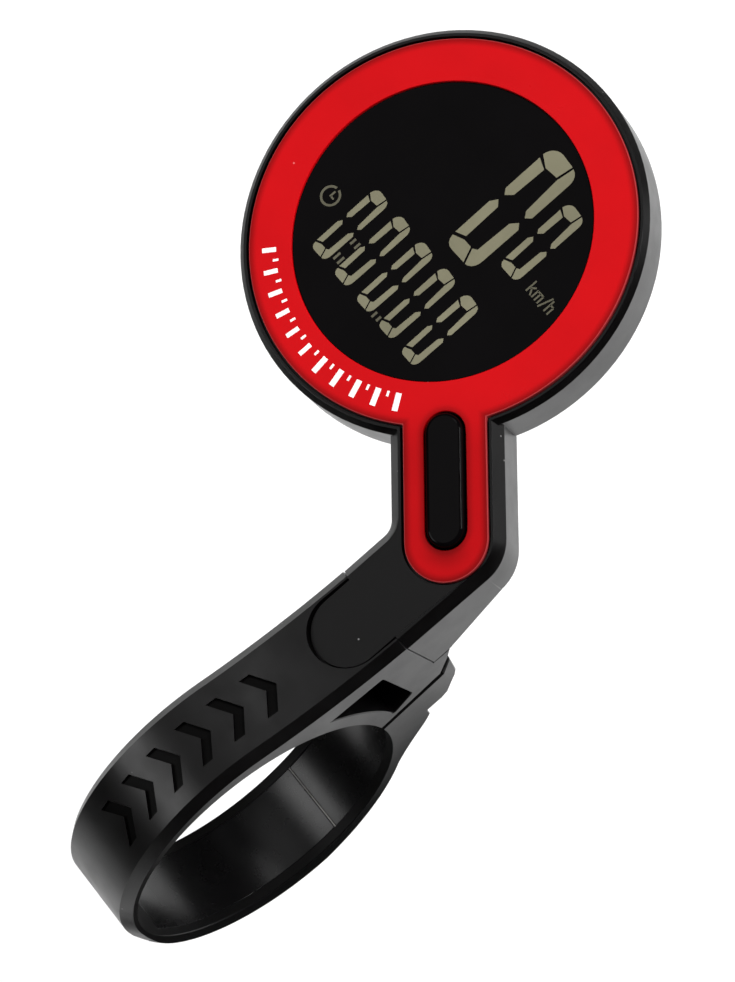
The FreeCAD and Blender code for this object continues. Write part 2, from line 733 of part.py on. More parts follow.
# four identical case screws
screws = []
for i in range(4):
    a = math.radians(90.0 * i)
    dx = S("screw_ring") * round(math.cos(a))
    dy = S("screw_ring") * round(math.sin(a))
    blank = fuse("screw_blank_%d" % i, [
        head_cyl("screw_head_%d" % i, 1.45, 6.95, 7.6, dx, dy),
        head_cyl("screw_shank_%d" % i, 0.78, 7.5, 11.1, dx, dy)])
    x, y = S("head_x") + dx, S("head_y") + dy
    drive = fuse("screw_drive_%d" % i, [
        box("drive_a_%d" % i, x - 0.9, x + 0.9, y - 0.2, y + 0.2, 6.5, 7.3),
        box("drive_b_%d" % i, x - 0.2, x + 0.2, y - 0.9, y + 0.9, 6.5, 7.3)])
    screws.append(cut("case_screw_%d" % i, blank, [drive]))
screw_set = doc.addObject("Part::Compound", "case_screws")
screw_set.Links = screws
node(screw_set, "case_screws")

# --------------------------------------------------------------------------
# bracket: arm, lightening window and upper half of the clamp
# --------------------------------------------------------------------------
R = S("bore_rad").v
RO, RCY, RCZ = 18.445, 1.0, -0.17               # outer circle of the band
HINGE = S("hinge_y").v


def on_outer(deg):
    a = math.radians(deg)
    return (RCY + RO * math.cos(a), RCZ + RO * math.sin(a))


def on_bore(deg, r=None):
    a = math.radians(deg)
    r = R if r is None else r
    return (r * math.cos(a), r * math.sin(a))


def arm_top(y):
    return 14.225 + 0.00769 * (26.9 - y) ** 2


bore_start = 2.9                                # where the slit's upper face meets the bore
p_rear_out = on_outer(179.6)
p_rear_in = on_bore(179.7)
p_tan = (6.0, arm_top(6.0))
slit_in = on_bore(bore_start)
arm = doc.addObject("PartDesign::Body", "bracket_profile")
sk = new_sketch(arm, "bracket_side", "YZ_Plane", -8)
a_tan = math.degrees(math.atan2(p_tan[1] - RCZ, p_tan[0] - RCY))
draw(sk, p_rear_out, [
    ("A", on_outer((179.6 + a_tan) / 2.0), p_tan),
    ("A", (15.0, arm_top(15.0)), (24.02, arm_top(24.02))),
    ("L", (24.62, 5.42)), ("L", (26.87, 5.38)), ("L", (25.95, 3.85)),
    ("L", (25.0, 2.72)), ("L", (24.2, 1.72)), ("L", slit_in),
    ("A", on_bore((bore_start + 179.7) / 2.0), p_rear_in),
    ("L", p_rear_out)])
pad(arm, "bracket_pad", sk, 16)
# triangular lightening window
sk = new_sketch(arm, "window_side", "YZ_Plane", -9)
draw(sk, (13.55, 11.62), [
    ("L", (19.7, 11.22)), ("A", (20.02, 11.12), (20.12, 10.8)),
    ("L", (20.72, 3.2)), ("A", (20.66, 2.87), (20.35, 2.7)),
    ("L", (18.3, 1.98)), ("A", (17.95, 2.02), (17.85, 2.35)),
    ("A", (16.55, 6.7), (13.55, 11.62))])
pocket(arm, "window_cut", sk, 18, reverse=True)
doc.recompute()

taper = [prism("side_trim_%s" % n, "XY_Plane",
               [(sg * (w0 - flare * 30), -30), (sg * (w0 + flare * 45), 45), (sg * 12, 45), (sg * 12, -30)],
               -40, 30) for n, sg in (("left", -1), ("right", 1))]
arm_cut = cut("bracket_trim", arm, taper)
doc.recompute()


sel = []
for i, e in enumerate(arm_cut.Shape.Edges, start=1):
    m = e.CenterOfMass
    if abs(m.x) < 4.0:
        continue
    on_out = all(abs(math.hypot(v.y - RCY, v.z - RCZ) - RO) < 0.02 for v in e.discretize(5))
    on_top = all(abs(v.z - arm_top(v.y)) < 0.06 and v.y > 5.9 for v in e.discretize(5))
    if on_out or on_top:
        sel.append(i)
arm_bevel = doc.addObject("Part::Chamfer", "bracket_bevel")
arm_bevel.Base = arm_cut
arm_bevel.Edges = [(i, 1.0, 1.0) for i in sel]
doc.recompute()
print("bracket bevel edges", sel, arm_bevel.Shape.isValid(), round(arm_bevel.Shape.Volume, 2))

# recess for the tongue, its undercut, and the pocket for the peg
t_top = tongue("recess_top", tw + 0.07, 13.0, 18, 27)
t_low = tongue("recess_low", tw + 0.53, S("tongue_low") - 0.07, S("tongue_low") + 0.73, 27)
peg_hole = box("peg_hole", -2.5, 2.5, 21.8, 26, 7.4, 11.1)
# liner seat in the bore


def bore_sector(name, r, half, a0, a1):
    """A sector about the bore's axis, from a0 to a1 degrees."""
    o = doc.addObject("Part::Cylinder", name)
    r, half = q(r), q(half)
    bind(o, "Radius", r)
    bind(o, "Height", half * 2)
    o.Angle = a1 - a0
    o.Placement = FreeCAD.Placement(V(-half.v, 0, 0), CROSS.multiply(Rot(V(0, 0, 1), a0)))
    bind(o, "Placement.Base.x", -half)
    return o


lt = S("bore_rad") + S("liner_thick")
lw = S("liner_wide") / 2
seat_up = bore_sector("liner_seat_upper", lt, lw, 12.0, 168.0)
# screw passage with the seat of the threaded insert above it
hole_up = cyl("screw_hole_upper", S("bolt_hole"), 0.0, 6.2, 0, S("bolt_y"))
nut_pocket = cyl("insert_seat", 1.36, 2.3, 5.2, 0, S("bolt_y"))

# six engraved slanted marks across the arm's top, 0.35 mm deep
mark_bars = []
for k, (yc, half_len, lean) in enumerate([(10.6, 2.5, 0.5), (6.7, 2.5, 0.5), (2.8, 2.5, 0.5),
                                          (-1.1, 2.5, 0.5), (-4.9, 2.5, 0.5), (-8.4, 2.5, 0.5)]):
    w = 0.62
    mark_bars.append(prism("mark_%d" % k, "XY_Plane",
                           [(-half_len, yc - w - lean * 1.3), (0.0, yc - w + 0.9), (half_len, yc - w - lean * 1.3),
                            (half_len, yc + w - lean * 1.3), (0.0, yc + w + 0.9), (-half_len, yc + w - lean * 1.3)],
                           8, 20))


def skin(name, drop):
    b = doc.addObject("PartDesign::Body", name)
    s = new_sketch(b, name + "_side", "YZ_Plane", -4)
    draw(s, on_outer(170.0), [
        ("A", on_outer((170.0 + a_tan) / 2.0), p_tan),
        ("A", (15.0, arm_top(15.0)), (24.02, arm_top(24.02))),
        ("L", (24.02, 3.0)), ("L", on_outer(170.0))])
    pad(b, name + "_pad", s, 8)
    b.Placement = FreeCAD.Placement(V(0, 0, -drop), Rot())
    return b


shell = cut("mark_skin", skin("skin_above", -0.5), [skin("skin_below", 0.35)])
marks = common("mark_tool", [shell, fuse("mark_bars", mark_bars)])
bracket = cut("bracket_body", arm_bevel, [t_top, t_low, peg_hole, seat_up, hole_up, nut_pocket, marks])
node(bracket, "bracket_body")

# --------------------------------------------------------------------------
# lower jaw: rest of the band, screw ear and front lug
# --------------------------------------------------------------------------


def polar(deg, r):
    a = math.radians(deg)
    return (r * math.cos(a), r * math.sin(a))


jaw = doc.addObject("PartDesign::Body", "jaw_profile")
sk = new_sketch(jaw, "jaw_side", "YZ_Plane", -8)
jaw_in = on_bore(1.1)
jaw_rear_in = on_bore(-179.7)
jaw_rear_out = (S("hinge_y").v + 0.06, -0.19)
draw(sk, jaw_in, [
    ("L", (24.35, 1.14)), ("L", (25.25, 2.36)), ("L", (26.02, 3.36)),
    ("L", (25.5, -0.4)), ("L", (25.1, -1.2)), ("L", (24.15, -2.36)),
    ("L", (23.2, -3.6)), ("L", (22.2, -3.97)), ("L", (20.3, -4.0)),
    ("L", (20.15, -5.32)), ("L", (19.1, -6.3)), ("L", (17.06, -7.75)),
    ("A", (15.5, -8.98), (14.0, -10.36)),
    ("A", polar(-57.0, 17.52), polar(-87.0, 18.38)),
    ("A", polar(-128.0, 18.12), polar(-158.0, 17.42)),
    ("A", polar(-169.0, 17.3), jaw_rear_out),
    ("L", jaw_rear_in),
    ("A", on_bore(-89.3), jaw_in)])
pad(jaw, "jaw_pad", sk, 16)
taper2 = [prism("jaw_trim_%s" % n, "XY_Plane",
                [(sg * (w0 - flare * 30), -30), (sg * (w0 + flare * 45), 45), (sg * 12, 45), (sg * 12, -30)],
                -40, 30) for n, sg in (("left", -1), ("right", 1))]
jaw_cut = cut("jaw_trim", jaw, taper2)
doc.recompute()
sel = []
for i, e in enumerate(jaw_cut.Shape.Edges, start=1):
    m = e.CenterOfMass
    if abs(m.x) < 4.0 or e.Length < 1.0:
        continue
    if all(v.z < -6.0 or v.y < -12 for v in e.discretize(5)) and \
            all(math.hypot(v.y, v.z) > 16.6 for v in e.discretize(9)):
        sel.append(i)
jaw_bevel = doc.addObject("Part::Chamfer", "jaw_bevel")
jaw_bevel.Base = jaw_cut
jaw_bevel.Edges = [(i, 0.35, 0.35) for i in sel]
doc.recompute()
print("jaw bevel edges", sel, jaw_bevel.Shape.isValid(), round(jaw_bevel.Shape.Volume, 2))
SPLIT = -75.7                                   # butt line of the two lower liners
seat_low = bore_sector("liner_seat_lower", lt, lw, -168.0, -9.0)
hole_low = cyl("screw_hole_lower", S("bolt_hole"), -8, 3, 0, S("bolt_y"))
sink_low = cyl("screw_sink", 2.0, -12, -2.3, 0, S("bolt_y"))
node(cut("clamp_jaw", jaw_bevel, [seat_low, hole_low, sink_low]), "clamp_jaw")


def liner(name, a0, a1, inner):
    return cut(name, bore_sector(name + "_out", lt, lw, a0, a1),
               [bore_sector(name + "_in", inner, lw + 1, a0 - 2, a1 + 2)])


node(liner("liner_upper", 12.3, 167.7, S("bore_rad")), "liner_upper")
node(liner("liner_rear", -167.7, SPLIT - 0.25, S("bore_rad")), "liner_rear")
node(liner("liner_front", SPLIT + 0.25, -9.3, S("bore_rad") + 0.1), "liner_front")

# --------------------------------------------------------------------------
# clamp hardware
# --------------------------------------------------------------------------


def hexagon(name, af, z0, z1, y):
    r = af / math.sqrt(3.0)
    pts = [(r * math.cos(math.radians(60 * k)), y + r * math.sin(math.radians(60 * k))) for k in range(6)]
    return prism(name, "XY_Plane", pts, z0, z1)


BY = S("bolt_y").v
bolt_blank = fuse("bolt_blank", [
    cyl("bolt_head", 1.8, -4.7, -2.7, 0, S("bolt_y")),
    cyl("bolt_shank", S("bolt_core"), -3.0, 4.3, 0, S("bolt_y"))])
node(cut("clamp_bolt", bolt_blank, [hexagon("bolt_socket", 1.5, -5.5, -3.6, BY)]), "clamp_bolt")
node(cut("clamp_washer", cyl("washer_disc", 1.88, -2.67, -2.3, 0, S("bolt_y")),
         [cyl("washer_hole", 1.02, -4, -1, 0, S("bolt_y"))]), "clamp_washer")
node(cut("clamp_nut", cyl("nut_blank", 1.35, 2.32, 5.0, 0, S("bolt_y")),
         [cyl("nut_bore", 1.02, 1, 7, 0, S("bolt_y"))]), "clamp_nut")

# --------------------------------------------------------------------------
# recompute, check, export
# --------------------------------------------------------------------------
doc.recompute()
bad = []
for o in doc.Objects:
    if "Invalid" in o.State or "Error" in o.State:
        bad.append((o.Name, o.State))
for o in NODES:
    s = o.Shape
    if s.isNull() or not s.isValid() or s.Volume <= 0:
        bad.append((o.Label, "shape"))
if bad:
    raise RuntimeError("failed objects: %s" % bad)
os.makedirs("parts", exist_ok=True)
for o in NODES:
    o.Shape.exportStep(os.path.join("parts", o.Label + ".step"))
    bb = o.Shape.BoundBox
    print("%-22s solids %d  vol %9.2f  x %7.2f %7.2f  y %7.2f %7.2f  z %7.2f %7.2f" % (
        o.Label, len(o.Shape.Solids), o.Shape.Volume, bb.XMin, bb.XMax, bb.YMin, bb.YMax, bb.ZMin, bb.ZMax))
print(len(NODES), "nodes")
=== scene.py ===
"""Looks of the cycling computer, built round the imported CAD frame.

Row frame, metres: origin at the handlebar bore's centre, +X along the bar,
+Y forward, +Z up.  Sizes below are written in millimetres and scaled by MM.
"""

import math

import bpy
import bmesh
from mathutils import Matrix, Vector
from mathutils.geometry import tessellate_polygon


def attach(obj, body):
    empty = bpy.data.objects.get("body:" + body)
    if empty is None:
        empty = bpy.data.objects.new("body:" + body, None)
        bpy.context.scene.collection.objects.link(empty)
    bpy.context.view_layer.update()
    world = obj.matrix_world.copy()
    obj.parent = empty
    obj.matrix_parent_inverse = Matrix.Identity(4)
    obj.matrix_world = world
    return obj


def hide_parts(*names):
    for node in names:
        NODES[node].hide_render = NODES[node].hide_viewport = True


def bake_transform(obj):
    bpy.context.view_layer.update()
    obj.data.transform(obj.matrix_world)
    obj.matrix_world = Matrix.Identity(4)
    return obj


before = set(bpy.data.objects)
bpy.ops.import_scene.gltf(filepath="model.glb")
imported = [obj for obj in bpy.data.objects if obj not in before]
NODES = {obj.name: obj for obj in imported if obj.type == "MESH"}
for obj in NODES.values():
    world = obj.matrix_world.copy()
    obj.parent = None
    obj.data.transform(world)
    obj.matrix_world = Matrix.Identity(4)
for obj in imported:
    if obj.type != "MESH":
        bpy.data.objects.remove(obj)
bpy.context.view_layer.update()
MM = 0.001

# --------------------------------------------------------------------------
# plan and side geometry of the object, in millimetres
# --------------------------------------------------------------------------
HX, HY = -26.01, 53.725
TOP = 14.2
TURN = math.radians(52.57)
ND = (math.sin(TURN), -math.cos(TURN))
NN = (math.cos(TURN), math.sin(TURN))
R_BORE = 15.9
RO, RCY, RCZ = 18.437, 1.0, -0.17


def half_w(y):
    return 5.25 + 0.004 * y


def top_z(y):
    if y < 6.0:
        return RCZ + math.sqrt(max(RO * RO - (y - RCY) ** 2, 0.0))
    return 14.225 + 0.00769 * (26.9 - y) ** 2


def polar(deg, r, cy=0.0, cz=0.0):
    a = math.radians(deg)
    return (cy + r * math.cos(a), cz + r * math.sin(a))


# --------------------------------------------------------------------------
# mesh helpers
# --------------------------------------------------------------------------
def new_object(name, verts, faces, scale=MM):
    me = bpy.data.meshes.new(name)
    me.from_pydata([tuple(c * scale for c in v) for v in verts], [], faces)
    ob = bpy.data.objects.new(name, me)
    bpy.context.scene.collection.objects.link(ob)
    return ob


def clean(ob, dist=2e-7, dissolve=None):
    bm = bmesh.new()
    bm.from_mesh(ob.data)
    bmesh.ops.remove_doubles(bm, verts=bm.verts, dist=dist)
    if dissolve:
        bmesh.ops.dissolve_limit(bm, angle_limit=math.radians(dissolve), use_dissolve_boundaries=False,
                                 verts=bm.verts, edges=bm.edges)
    bmesh.ops.recalc_face_normals(bm, faces=bm.faces)
    bm.to_mesh(ob.data)
    bm.free()
    return ob


def apply_modifiers(ob):
    dg = bpy.context.evaluated_depsgraph_get()
    dg.update()
    me = bpy.data.meshes.new_from_object(ob.evaluated_get(dg))
    old = ob.data
    ob.modifiers.clear()
    ob.data = me
    bpy.data.meshes.remove(old)
    return ob


def smooth(ob, angle=28.0):
    me = ob.data
    me.polygons.foreach_set("use_smooth", [True] * len(me.polygons))
    me.set_sharp_from_angle(angle=math.radians(angle))
    me.update()
    # large flat faces keep their own normal, and only the eased edges bend
    m = ob.modifiers.new("normals", "WEIGHTED_NORMAL")
    m.keep_sharp = True
    m.weight = 80
    return apply_modifiers(ob)


def round_edges(ob, width, segments=2, angle=30.0):
    m = ob.modifiers.new("edges", "BEVEL")
    m.width = width * MM
    m.segments = segments
    m.limit_method = "ANGLE"
    m.angle_limit = math.radians(angle)
    m.use_clamp_overlap = True
    m.miter_outer = "MITER_ARC"
    m.harden_normals = False
    return apply_modifiers(ob)


def boolean(ob, cutter, op="DIFFERENCE"):
    m = ob.modifiers.new("cut", "BOOLEAN")
    m.object = cutter
    m.operation = op
    m.solver = "EXACT"
    apply_modifiers(ob)
    bpy.data.objects.remove(cutter, do_unlink=True)
    return ob


def cad_copy(node, name, width=0.08, segments=2, dissolve=0.25):
    """A finer-finished copy of a CAD node, with its sharp edges eased."""
    src = NODES[node].data
    ob = new_object(name, [tuple(v.co) for v in src.vertices],
                    [tuple(p.vertices) for p in src.polygons], scale=1.0)
    clean(ob, 1e-6, dissolve)
    if width:
        round_edges(ob, width, segments)
    smooth(ob)
    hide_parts(node)
    return ob


def loop_faces(n, lo, hi):
    return [(lo + i, lo + (i + 1) % n, hi + (i + 1) % n, hi + i) for i in range(n)]


def obround(half_len, r, n=24):
    pts = []
    for k in range(n + 1):
        a = -math.pi / 2 + math.pi * k / n
        pts.append((half_len + r * math.cos(a), r * math.sin(a)))
    for k in range(n + 1):
        a = math.pi / 2 + math.pi * k / n
        pts.append((-half_len + r * math.cos(a), r * math.sin(a)))
    return pts


def prism_xy(name, pts, z0, z1):
    """Closed straight prism over a plan polygon; z0 and z1 may be functions of (x, y)."""
    f0 = z0 if callable(z0) else (lambda x, y: z0)
    f1 = z1 if callable(z1) else (lambda x, y: z1)
    n = len(pts)
    verts = [(x, y, f0(x, y)) for x, y in pts] + [(x, y, f1(x, y)) for x, y in pts]
    tris = tessellate_polygon([[Vector((x, y, 0)) for x, y in pts]])
    faces = [(a, b, c) for a, b, c in tris] + [(a + n, b + n, c + n) for a, b, c in tris]
    faces += loop_faces(n, 0, n)
    return clean(new_object(name, verts, faces))


def arc3(cy, cz, r, a0, a1, n):
    return [polar(a0 + (a1 - a0) * k / n, r, cy, cz) for k in range(n + 1)]


def circle_through(p, q, r):
    ax, ay = p
    bx, by = q
    cx, cy = r
    d = 2 * (ax * (by - cy) + bx * (cy - ay) + cx * (ay - by))
    ux = ((ax * ax + ay * ay) * (by - cy) + (bx * bx + by * by) * (cy - ay) + (cx * cx + cy * cy) * (ay - by)) / d
    uy = ((ax * ax + ay * ay) * (cx - bx) + (bx * bx + by * by) * (ax - cx) + (cx * cx + cy * cy) * (bx - ax)) / d
    return ux, uy, math.hypot(ax - ux, ay - uy)


def arc_pts(p, q, r, n):
    """Points of the arc from p through q to r, p left out."""
    cx, cy, rad = circle_through(p, q, r)
    a0 = math.atan2(p[1] - cy, p[0] - cx)
    am = math.atan2(q[1] - cy, q[0] - cx)
    a1 = math.atan2(r[1] - cy, r[0] - cx)
    two = 2 * math.pi
    if (am - a0) % two < (a1 - a0) % two:
        sweep = (a1 - a0) % two
    else:
        sweep = -((a0 - a1) % two)
    return [(cx + rad * math.cos(a0 + sweep * k / n), cy + rad * math.sin(a0 + sweep * k / n))
            for k in range(1, n + 1)]


def band_solid(name, loops, far=lambda y: 1.0):
    """A side profile swept across the band's tapered width.

    Each loop is a list of (y, z, a, b).  a is how far the side face stands back
    from the edge that starts at that point, and b how deep that chamfer runs
    across the width.  The solid lies to the left of every edge.  far(y) scales
    the chamfer on the -X side.
    """
    verts, faces = [], []
    caps, flat = ([], []), []
    for loop in loops:
        pts = []
        for p in loop:
            if not pts or math.hypot(p[0] - pts[-1][0], p[1] - pts[-1][1]) > 1e-5:
                pts.append(p)
        if math.hypot(pts[0][0] - pts[-1][0], pts[0][1] - pts[-1][1]) < 1e-5:
            pts.pop()
        n = len(pts)
        sides = []
        for k in (0, 1):
            Q, B = [], []
            for i in range(n):
                p0, p1, p2 = pts[i - 1], pts[i], pts[(i + 1) % n]
                d1 = Vector((p1[0] - p0[0], p1[1] - p0[1])).normalized()
                d2 = Vector((p2[0] - p1[0], p2[1] - p1[1])).normalized()
                n1, n2 = Vector((-d1.y, d1.x)), Vector((-d2.y, d2.x))
                f = far(p1[0]) if k else 1.0
                a1, a2 = p0[2] * f, p1[2] * f
                cr = d1.x * d2.y - d1.y * d2.x
                c = Vector((p1[0], p1[1]))
                if abs(cr) < 0.09:
                    Q.append(c + (n1 + n2).normalized() * (a1 + a2) / 2)
                    B.append((p0[3] + p1[3]) / 2 * f)
                else:
                    # where the two offset lines cross
                    o1, o2 = c + n1 * a1, c + n2 * a2
                    t = ((o2.x - o1.x) * d2.y - (o2.y - o1.y) * d2.x) / cr
                    Q.append(o1 + d1 * t)
                    B.append(max(p0[3], p1[3]) * f)
            sides.append((Q, B))
            caps[k].append([Vector((q_.x, q_.y, 0)) for q_ in Q])
        base = len(verts)
        for i in range(n):
            y, z = pts[i][0], pts[i][1]
            w = half_w(y)
            (QR, BR), (QL, BL) = sides
            verts += [(w - BR[i], y, z), (-(w - BL[i]), y, z),
                      (half_w(QR[i].x), QR[i].x, QR[i].y), (-half_w(QL[i].x), QL[i].x, QL[i].y)]
        for i in range(n):
            a, b = base + 4 * i, base + 4 * ((i + 1) % n)
            faces += [(a, b, b + 1, a + 1), (a, a + 2, b + 2, b), (a + 1, b + 1, b + 3, a + 3)]
        flat += [base + 4 * i for i in range(n)]
    for k in (0, 1):
        for a, b, c in tessellate_polygon(caps[k]):
            faces.append((flat[a] + 2 + k, flat[b] + 2 + k, flat[c] + 2 + k))
    return clean(new_object(name, verts, faces), 5e-7)


# --------------------------------------------------------------------------
# materials
# --------------------------------------------------------------------------
def nodes_of(name):
    m = bpy.data.materials.new(name)
    m.use_nodes = True
    nt = m.node_tree
    bsdf = nt.nodes["Principled BSDF"]
    return m, nt, bsdf


def link(nt, a, b):
    nt.links.new(a, b)


def coords(nt):
    return nt.nodes.new("ShaderNodeTexCoord").outputs["Object"]


def noise(nt, vec, scale, detail=3.0, rough=0.55):
    n = nt.nodes.new("ShaderNodeTexNoise")
    n.inputs["Scale"].default_value = scale
    n.inputs["Detail"].default_value = detail
    n.inputs["Roughness"].default_value = rough
    link(nt, vec, n.inputs["Vector"])
    return n.outputs["Fac"]


def ramp(nt, fac, stops):
    r = nt.nodes.new("ShaderNodeValToRGB")
    cr = r.color_ramp
    while len(cr.elements) < len(stops):
        cr.elements.new(0.5)
    for e, (p, c) in zip(cr.elements, stops):
        e.position = p
        e.color = (c[0], c[1], c[2], 1.0)
    link(nt, fac, r.inputs["Fac"])
    return r.outputs["Color"]


def spread(nt, fac, lo, hi, f0=0.3, f1=0.7):
    m = nt.nodes.new("ShaderNodeMapRange")
    m.inputs["From Min"].default_value = f0
    m.inputs["From Max"].default_value = f1
    m.inputs["To Min"].default_value = lo
    m.inputs["To Max"].default_value = hi
    link(nt, fac, m.inputs["Value"])
    return m.outputs["Result"]


def bump(nt, height, strength, distance_mm, bsdf, prev=None):
    b = nt.nodes.new("ShaderNodeBump")
    b.inputs["Strength"].default_value = strength
    b.inputs["Distance"].default_value = distance_mm * MM
    link(nt, height, b.inputs["Height"])
    if prev is not None:
        link(nt, prev, b.inputs["Normal"])
    link(nt, b.outputs["Normal"], bsdf.inputs["Normal"])
    return b.outputs["Normal"]


def shade(c, k):
    return (c[0] * k, c[1] * k, c[2] * k)


def plastic(name, color, rough, grain=5200, grain_strength=0.12, grain_mm=0.01, vary=0.18,
            rough_vary=0.05, specular=0.5, coat=0.0, coat_rough=0.1, metallic=0.0, wave=None, specks=None):
    m, nt, b = nodes_of(name)
    v = coords(nt)
    big = noise(nt, v, 110, 4)
    col = ramp(nt, big, [(0.3, shade(color, 1 - vary)), (0.7, shade(color, 1 + vary))])
    if specks:
        vor = nt.nodes.new("ShaderNodeTexVoronoi")
        vor.inputs["Scale"].default_value = 430
        vor.inputs["Randomness"].default_value = 1.0
        link(nt, v, vor.inputs["Vector"])
        dot = nt.nodes.new("ShaderNodeMath")
        dot.operation = "LESS_THAN"
        dot.inputs[1].default_value = 0.042
        link(nt, vor.outputs["Distance"], dot.inputs[0])
        sep = nt.nodes.new("ShaderNodeSeparateColor")
        link(nt, vor.outputs["Color"], sep.inputs["Color"])
        rare = nt.nodes.new("ShaderNodeMath")
        rare.operation = "GREATER_THAN"
        rare.inputs[1].default_value = 0.66
        link(nt, sep.outputs["Red"], rare.inputs[0])
        both = nt.nodes.new("ShaderNodeMath")
        both.operation = "MULTIPLY"
        link(nt, dot.outputs["Value"], both.inputs[0])
        link(nt, rare.outputs["Value"], both.inputs[1])
        mix = nt.nodes.new("ShaderNodeMix")
        mix.data_type = "RGBA"
        link(nt, both.outputs["Value"], mix.inputs["Factor"])
        link(nt, col, mix.inputs["A"])
        mix.inputs["B"].default_value = (*specks, 1)
        col = mix.outputs["Result"]
    link(nt, col, b.inputs["Base Color"])
    link(nt, spread(nt, noise(nt, v, 260, 5), rough - rough_vary, rough + rough_vary), b.inputs["Roughness"])
    b.inputs["Metallic"].default_value = metallic
    b.inputs["Specular IOR Level"].default_value = specular
    b.inputs["Coat Weight"].default_value = coat
    b.inputs["Coat Roughness"].default_value = coat_rough
    n = bump(nt, noise(nt, v, grain, 2, 0.6), grain_strength, grain_mm, b)
    if wave:
        bump(nt, noise(nt, v, wave[0], 2), wave[1], wave[2], b, n)
    return m


def brushed(name, color, rough, axis="Z", specular=0.5):
    m, nt, b = nodes_of(name)
    v = coords(nt)
    mp = nt.nodes.new("ShaderNodeMapping")
    sc = {"X": (120, 4200, 4200), "Y": (4200, 120, 4200), "Z": (4200, 4200, 160)}[axis]
    mp.inputs["Scale"].default_value = sc
    link(nt, v, mp.inputs["Vector"])
    line = noise(nt, mp.outputs["Vector"], 1.0, 3)
    link(nt, ramp(nt, line, [(0.25, shade(color, 0.82)), (0.75, shade(color, 1.1))]), b.inputs["Base Color"])
    link(nt, spread(nt, line, rough - 0.06, rough + 0.08), b.inputs["Roughness"])
    b.inputs["Metallic"].default_value = 1.0
    b.inputs["Specular IOR Level"].default_value = specular
    bump(nt, line, 0.15, 0.01, b)
    return m


BLACK = (0.0011, 0.0009, 0.0010)
m_case = plastic("case_plastic", BLACK, 0.33, grain=6500, grain_strength=0.10, grain_mm=0.008, specks=(0.13, 0.13, 0.13),
                 wave=(700, 0.08, 0.02))
m_arm = plastic("bracket_plastic", BLACK, 0.34, grain=5200, grain_strength=0.12, grain_mm=0.009, specks=(0.13, 0.13, 0.13),
                wave=(600, 0.08, 0.02))
m_back = plastic("back_plastic", (0.0060, 0.0058, 0.0060), 0.44, grain=3600, grain_strength=0.25, grain_mm=0.014)
m_red = plastic("red_plate", (0.470, 0.0024, 0.0048), 0.32, grain=9000, grain_strength=0.05, grain_mm=0.005,
                vary=0.05, rough_vary=0.05, specular=0.16, specks=(0.66, 0.14, 0.14))


def op(nt, kind, a, b_=None):
    n = nt.nodes.new("ShaderNodeMath")
    n.operation = kind
    for i, val in enumerate((a, b_)):
        if val is None:
            continue
        if isinstance(val, (int, float)):
            n.inputs[i].default_value = val
        else:
            link(nt, val, n.inputs[i])
    return n.outputs["Value"]


def paint_plate_shade_and_highlight(mat):
    """Paints shade into the plate's colour: darker towards its outline, round the slot and beyond the slot's far end,
    and darker along the neck than on the head; and a painted highlight, a pale line along the outline.
    """
    nt = mat.node_tree
    b = nt.nodes["Principled BSDF"]
    col = b.inputs["Base Color"].links[0].from_socket
    sep = nt.nodes.new("ShaderNodeSeparateXYZ")
    link(nt, coords(nt), sep.inputs["Vector"])
    x = op(nt, "SUBTRACT", op(nt, "MULTIPLY", sep.outputs["X"], 1000.0), HX)
    y = op(nt, "SUBTRACT", op(nt, "MULTIPLY", sep.outputs["Y"], 1000.0), HY)
    u = op(nt, "ADD", op(nt, "MULTIPLY", x, ND[0]), op(nt, "MULTIPLY", y, ND[1]))
    w = op(nt, "ADD", op(nt, "MULTIPLY", x, NN[0]), op(nt, "MULTIPLY", y, NN[1]))

    def length(p, q):
        return op(nt, "SQRT", op(nt, "ADD", op(nt, "MULTIPLY", p, p), op(nt, "MULTIPLY", q, q)))

    def capsule(lo, hi, r):
        over = op(nt, "MAXIMUM", op(nt, "MAXIMUM", op(nt, "SUBTRACT", u, hi), op(nt, "SUBTRACT", lo, u)), 0.0)
        return op(nt, "SUBTRACT", length(over, w), r)

    head = op(nt, "SUBTRACT", length(u, w), 20.5)
    neck = capsule(0.0, PLATE_END, PLATE_NECK)
    inside = op(nt, "MULTIPLY", op(nt, "MINIMUM", head, neck), -1.0)
    slot_ = capsule(SLOT_LO, SLOT_HI, SLOT_R)

    def rise(d, lo, hi, f0, f1):
        n = nt.nodes.new("ShaderNodeMapRange")
        n.interpolation_type = "SMOOTHSTEP"
        n.inputs["From Min"].default_value = lo
        n.inputs["From Max"].default_value = hi
        n.inputs["To Min"].default_value = f0
        n.inputs["To Max"].default_value = f1
        link(nt, d, n.inputs["Value"])
        return n.outputs["Result"]

    # painted shade: darker within about a millimetre of the plate's outline and round the slot
    k = op(nt, "MULTIPLY", rise(inside, 0.0, 0.95, 0.44, 1.0), rise(slot_, 0.0, 0.85, 0.62, 1.0))
    # painted shade: the neck darker than the head, as the light falls off along it
    k = op(nt, "MULTIPLY", k, rise(u, 16.5, 24.0, 1.0, 0.76))
    # painted shade: darker just beyond the slot's far end
    tip = length(op(nt, "SUBTRACT", u, SLOT_HI + SLOT_R), op(nt, "MULTIPLY", w, 0.75))
    k = op(nt, "MULTIPLY", k, rise(tip, 0.3, 2.3, 0.62, 1.0))
    mul = nt.nodes.new("ShaderNodeVectorMath")
    mul.operation = "SCALE"
    link(nt, col, mul.inputs[0])
    link(nt, k, mul.inputs["Scale"])
    # painted highlight: a pale line along the plate's outline
    line = nt.nodes.new("ShaderNodeMix")
    line.data_type = "RGBA"
    link(nt, op(nt, "MULTIPLY", op(nt, "LESS_THAN", inside, 0.10), 0.42), line.inputs["Factor"])
    link(nt, mul.outputs["Vector"], line.inputs["A"])
    line.inputs["B"].default_value = (0.50, 0.075, 0.080, 1)
    link(nt, line.outputs["Result"], b.inputs["Base Color"])


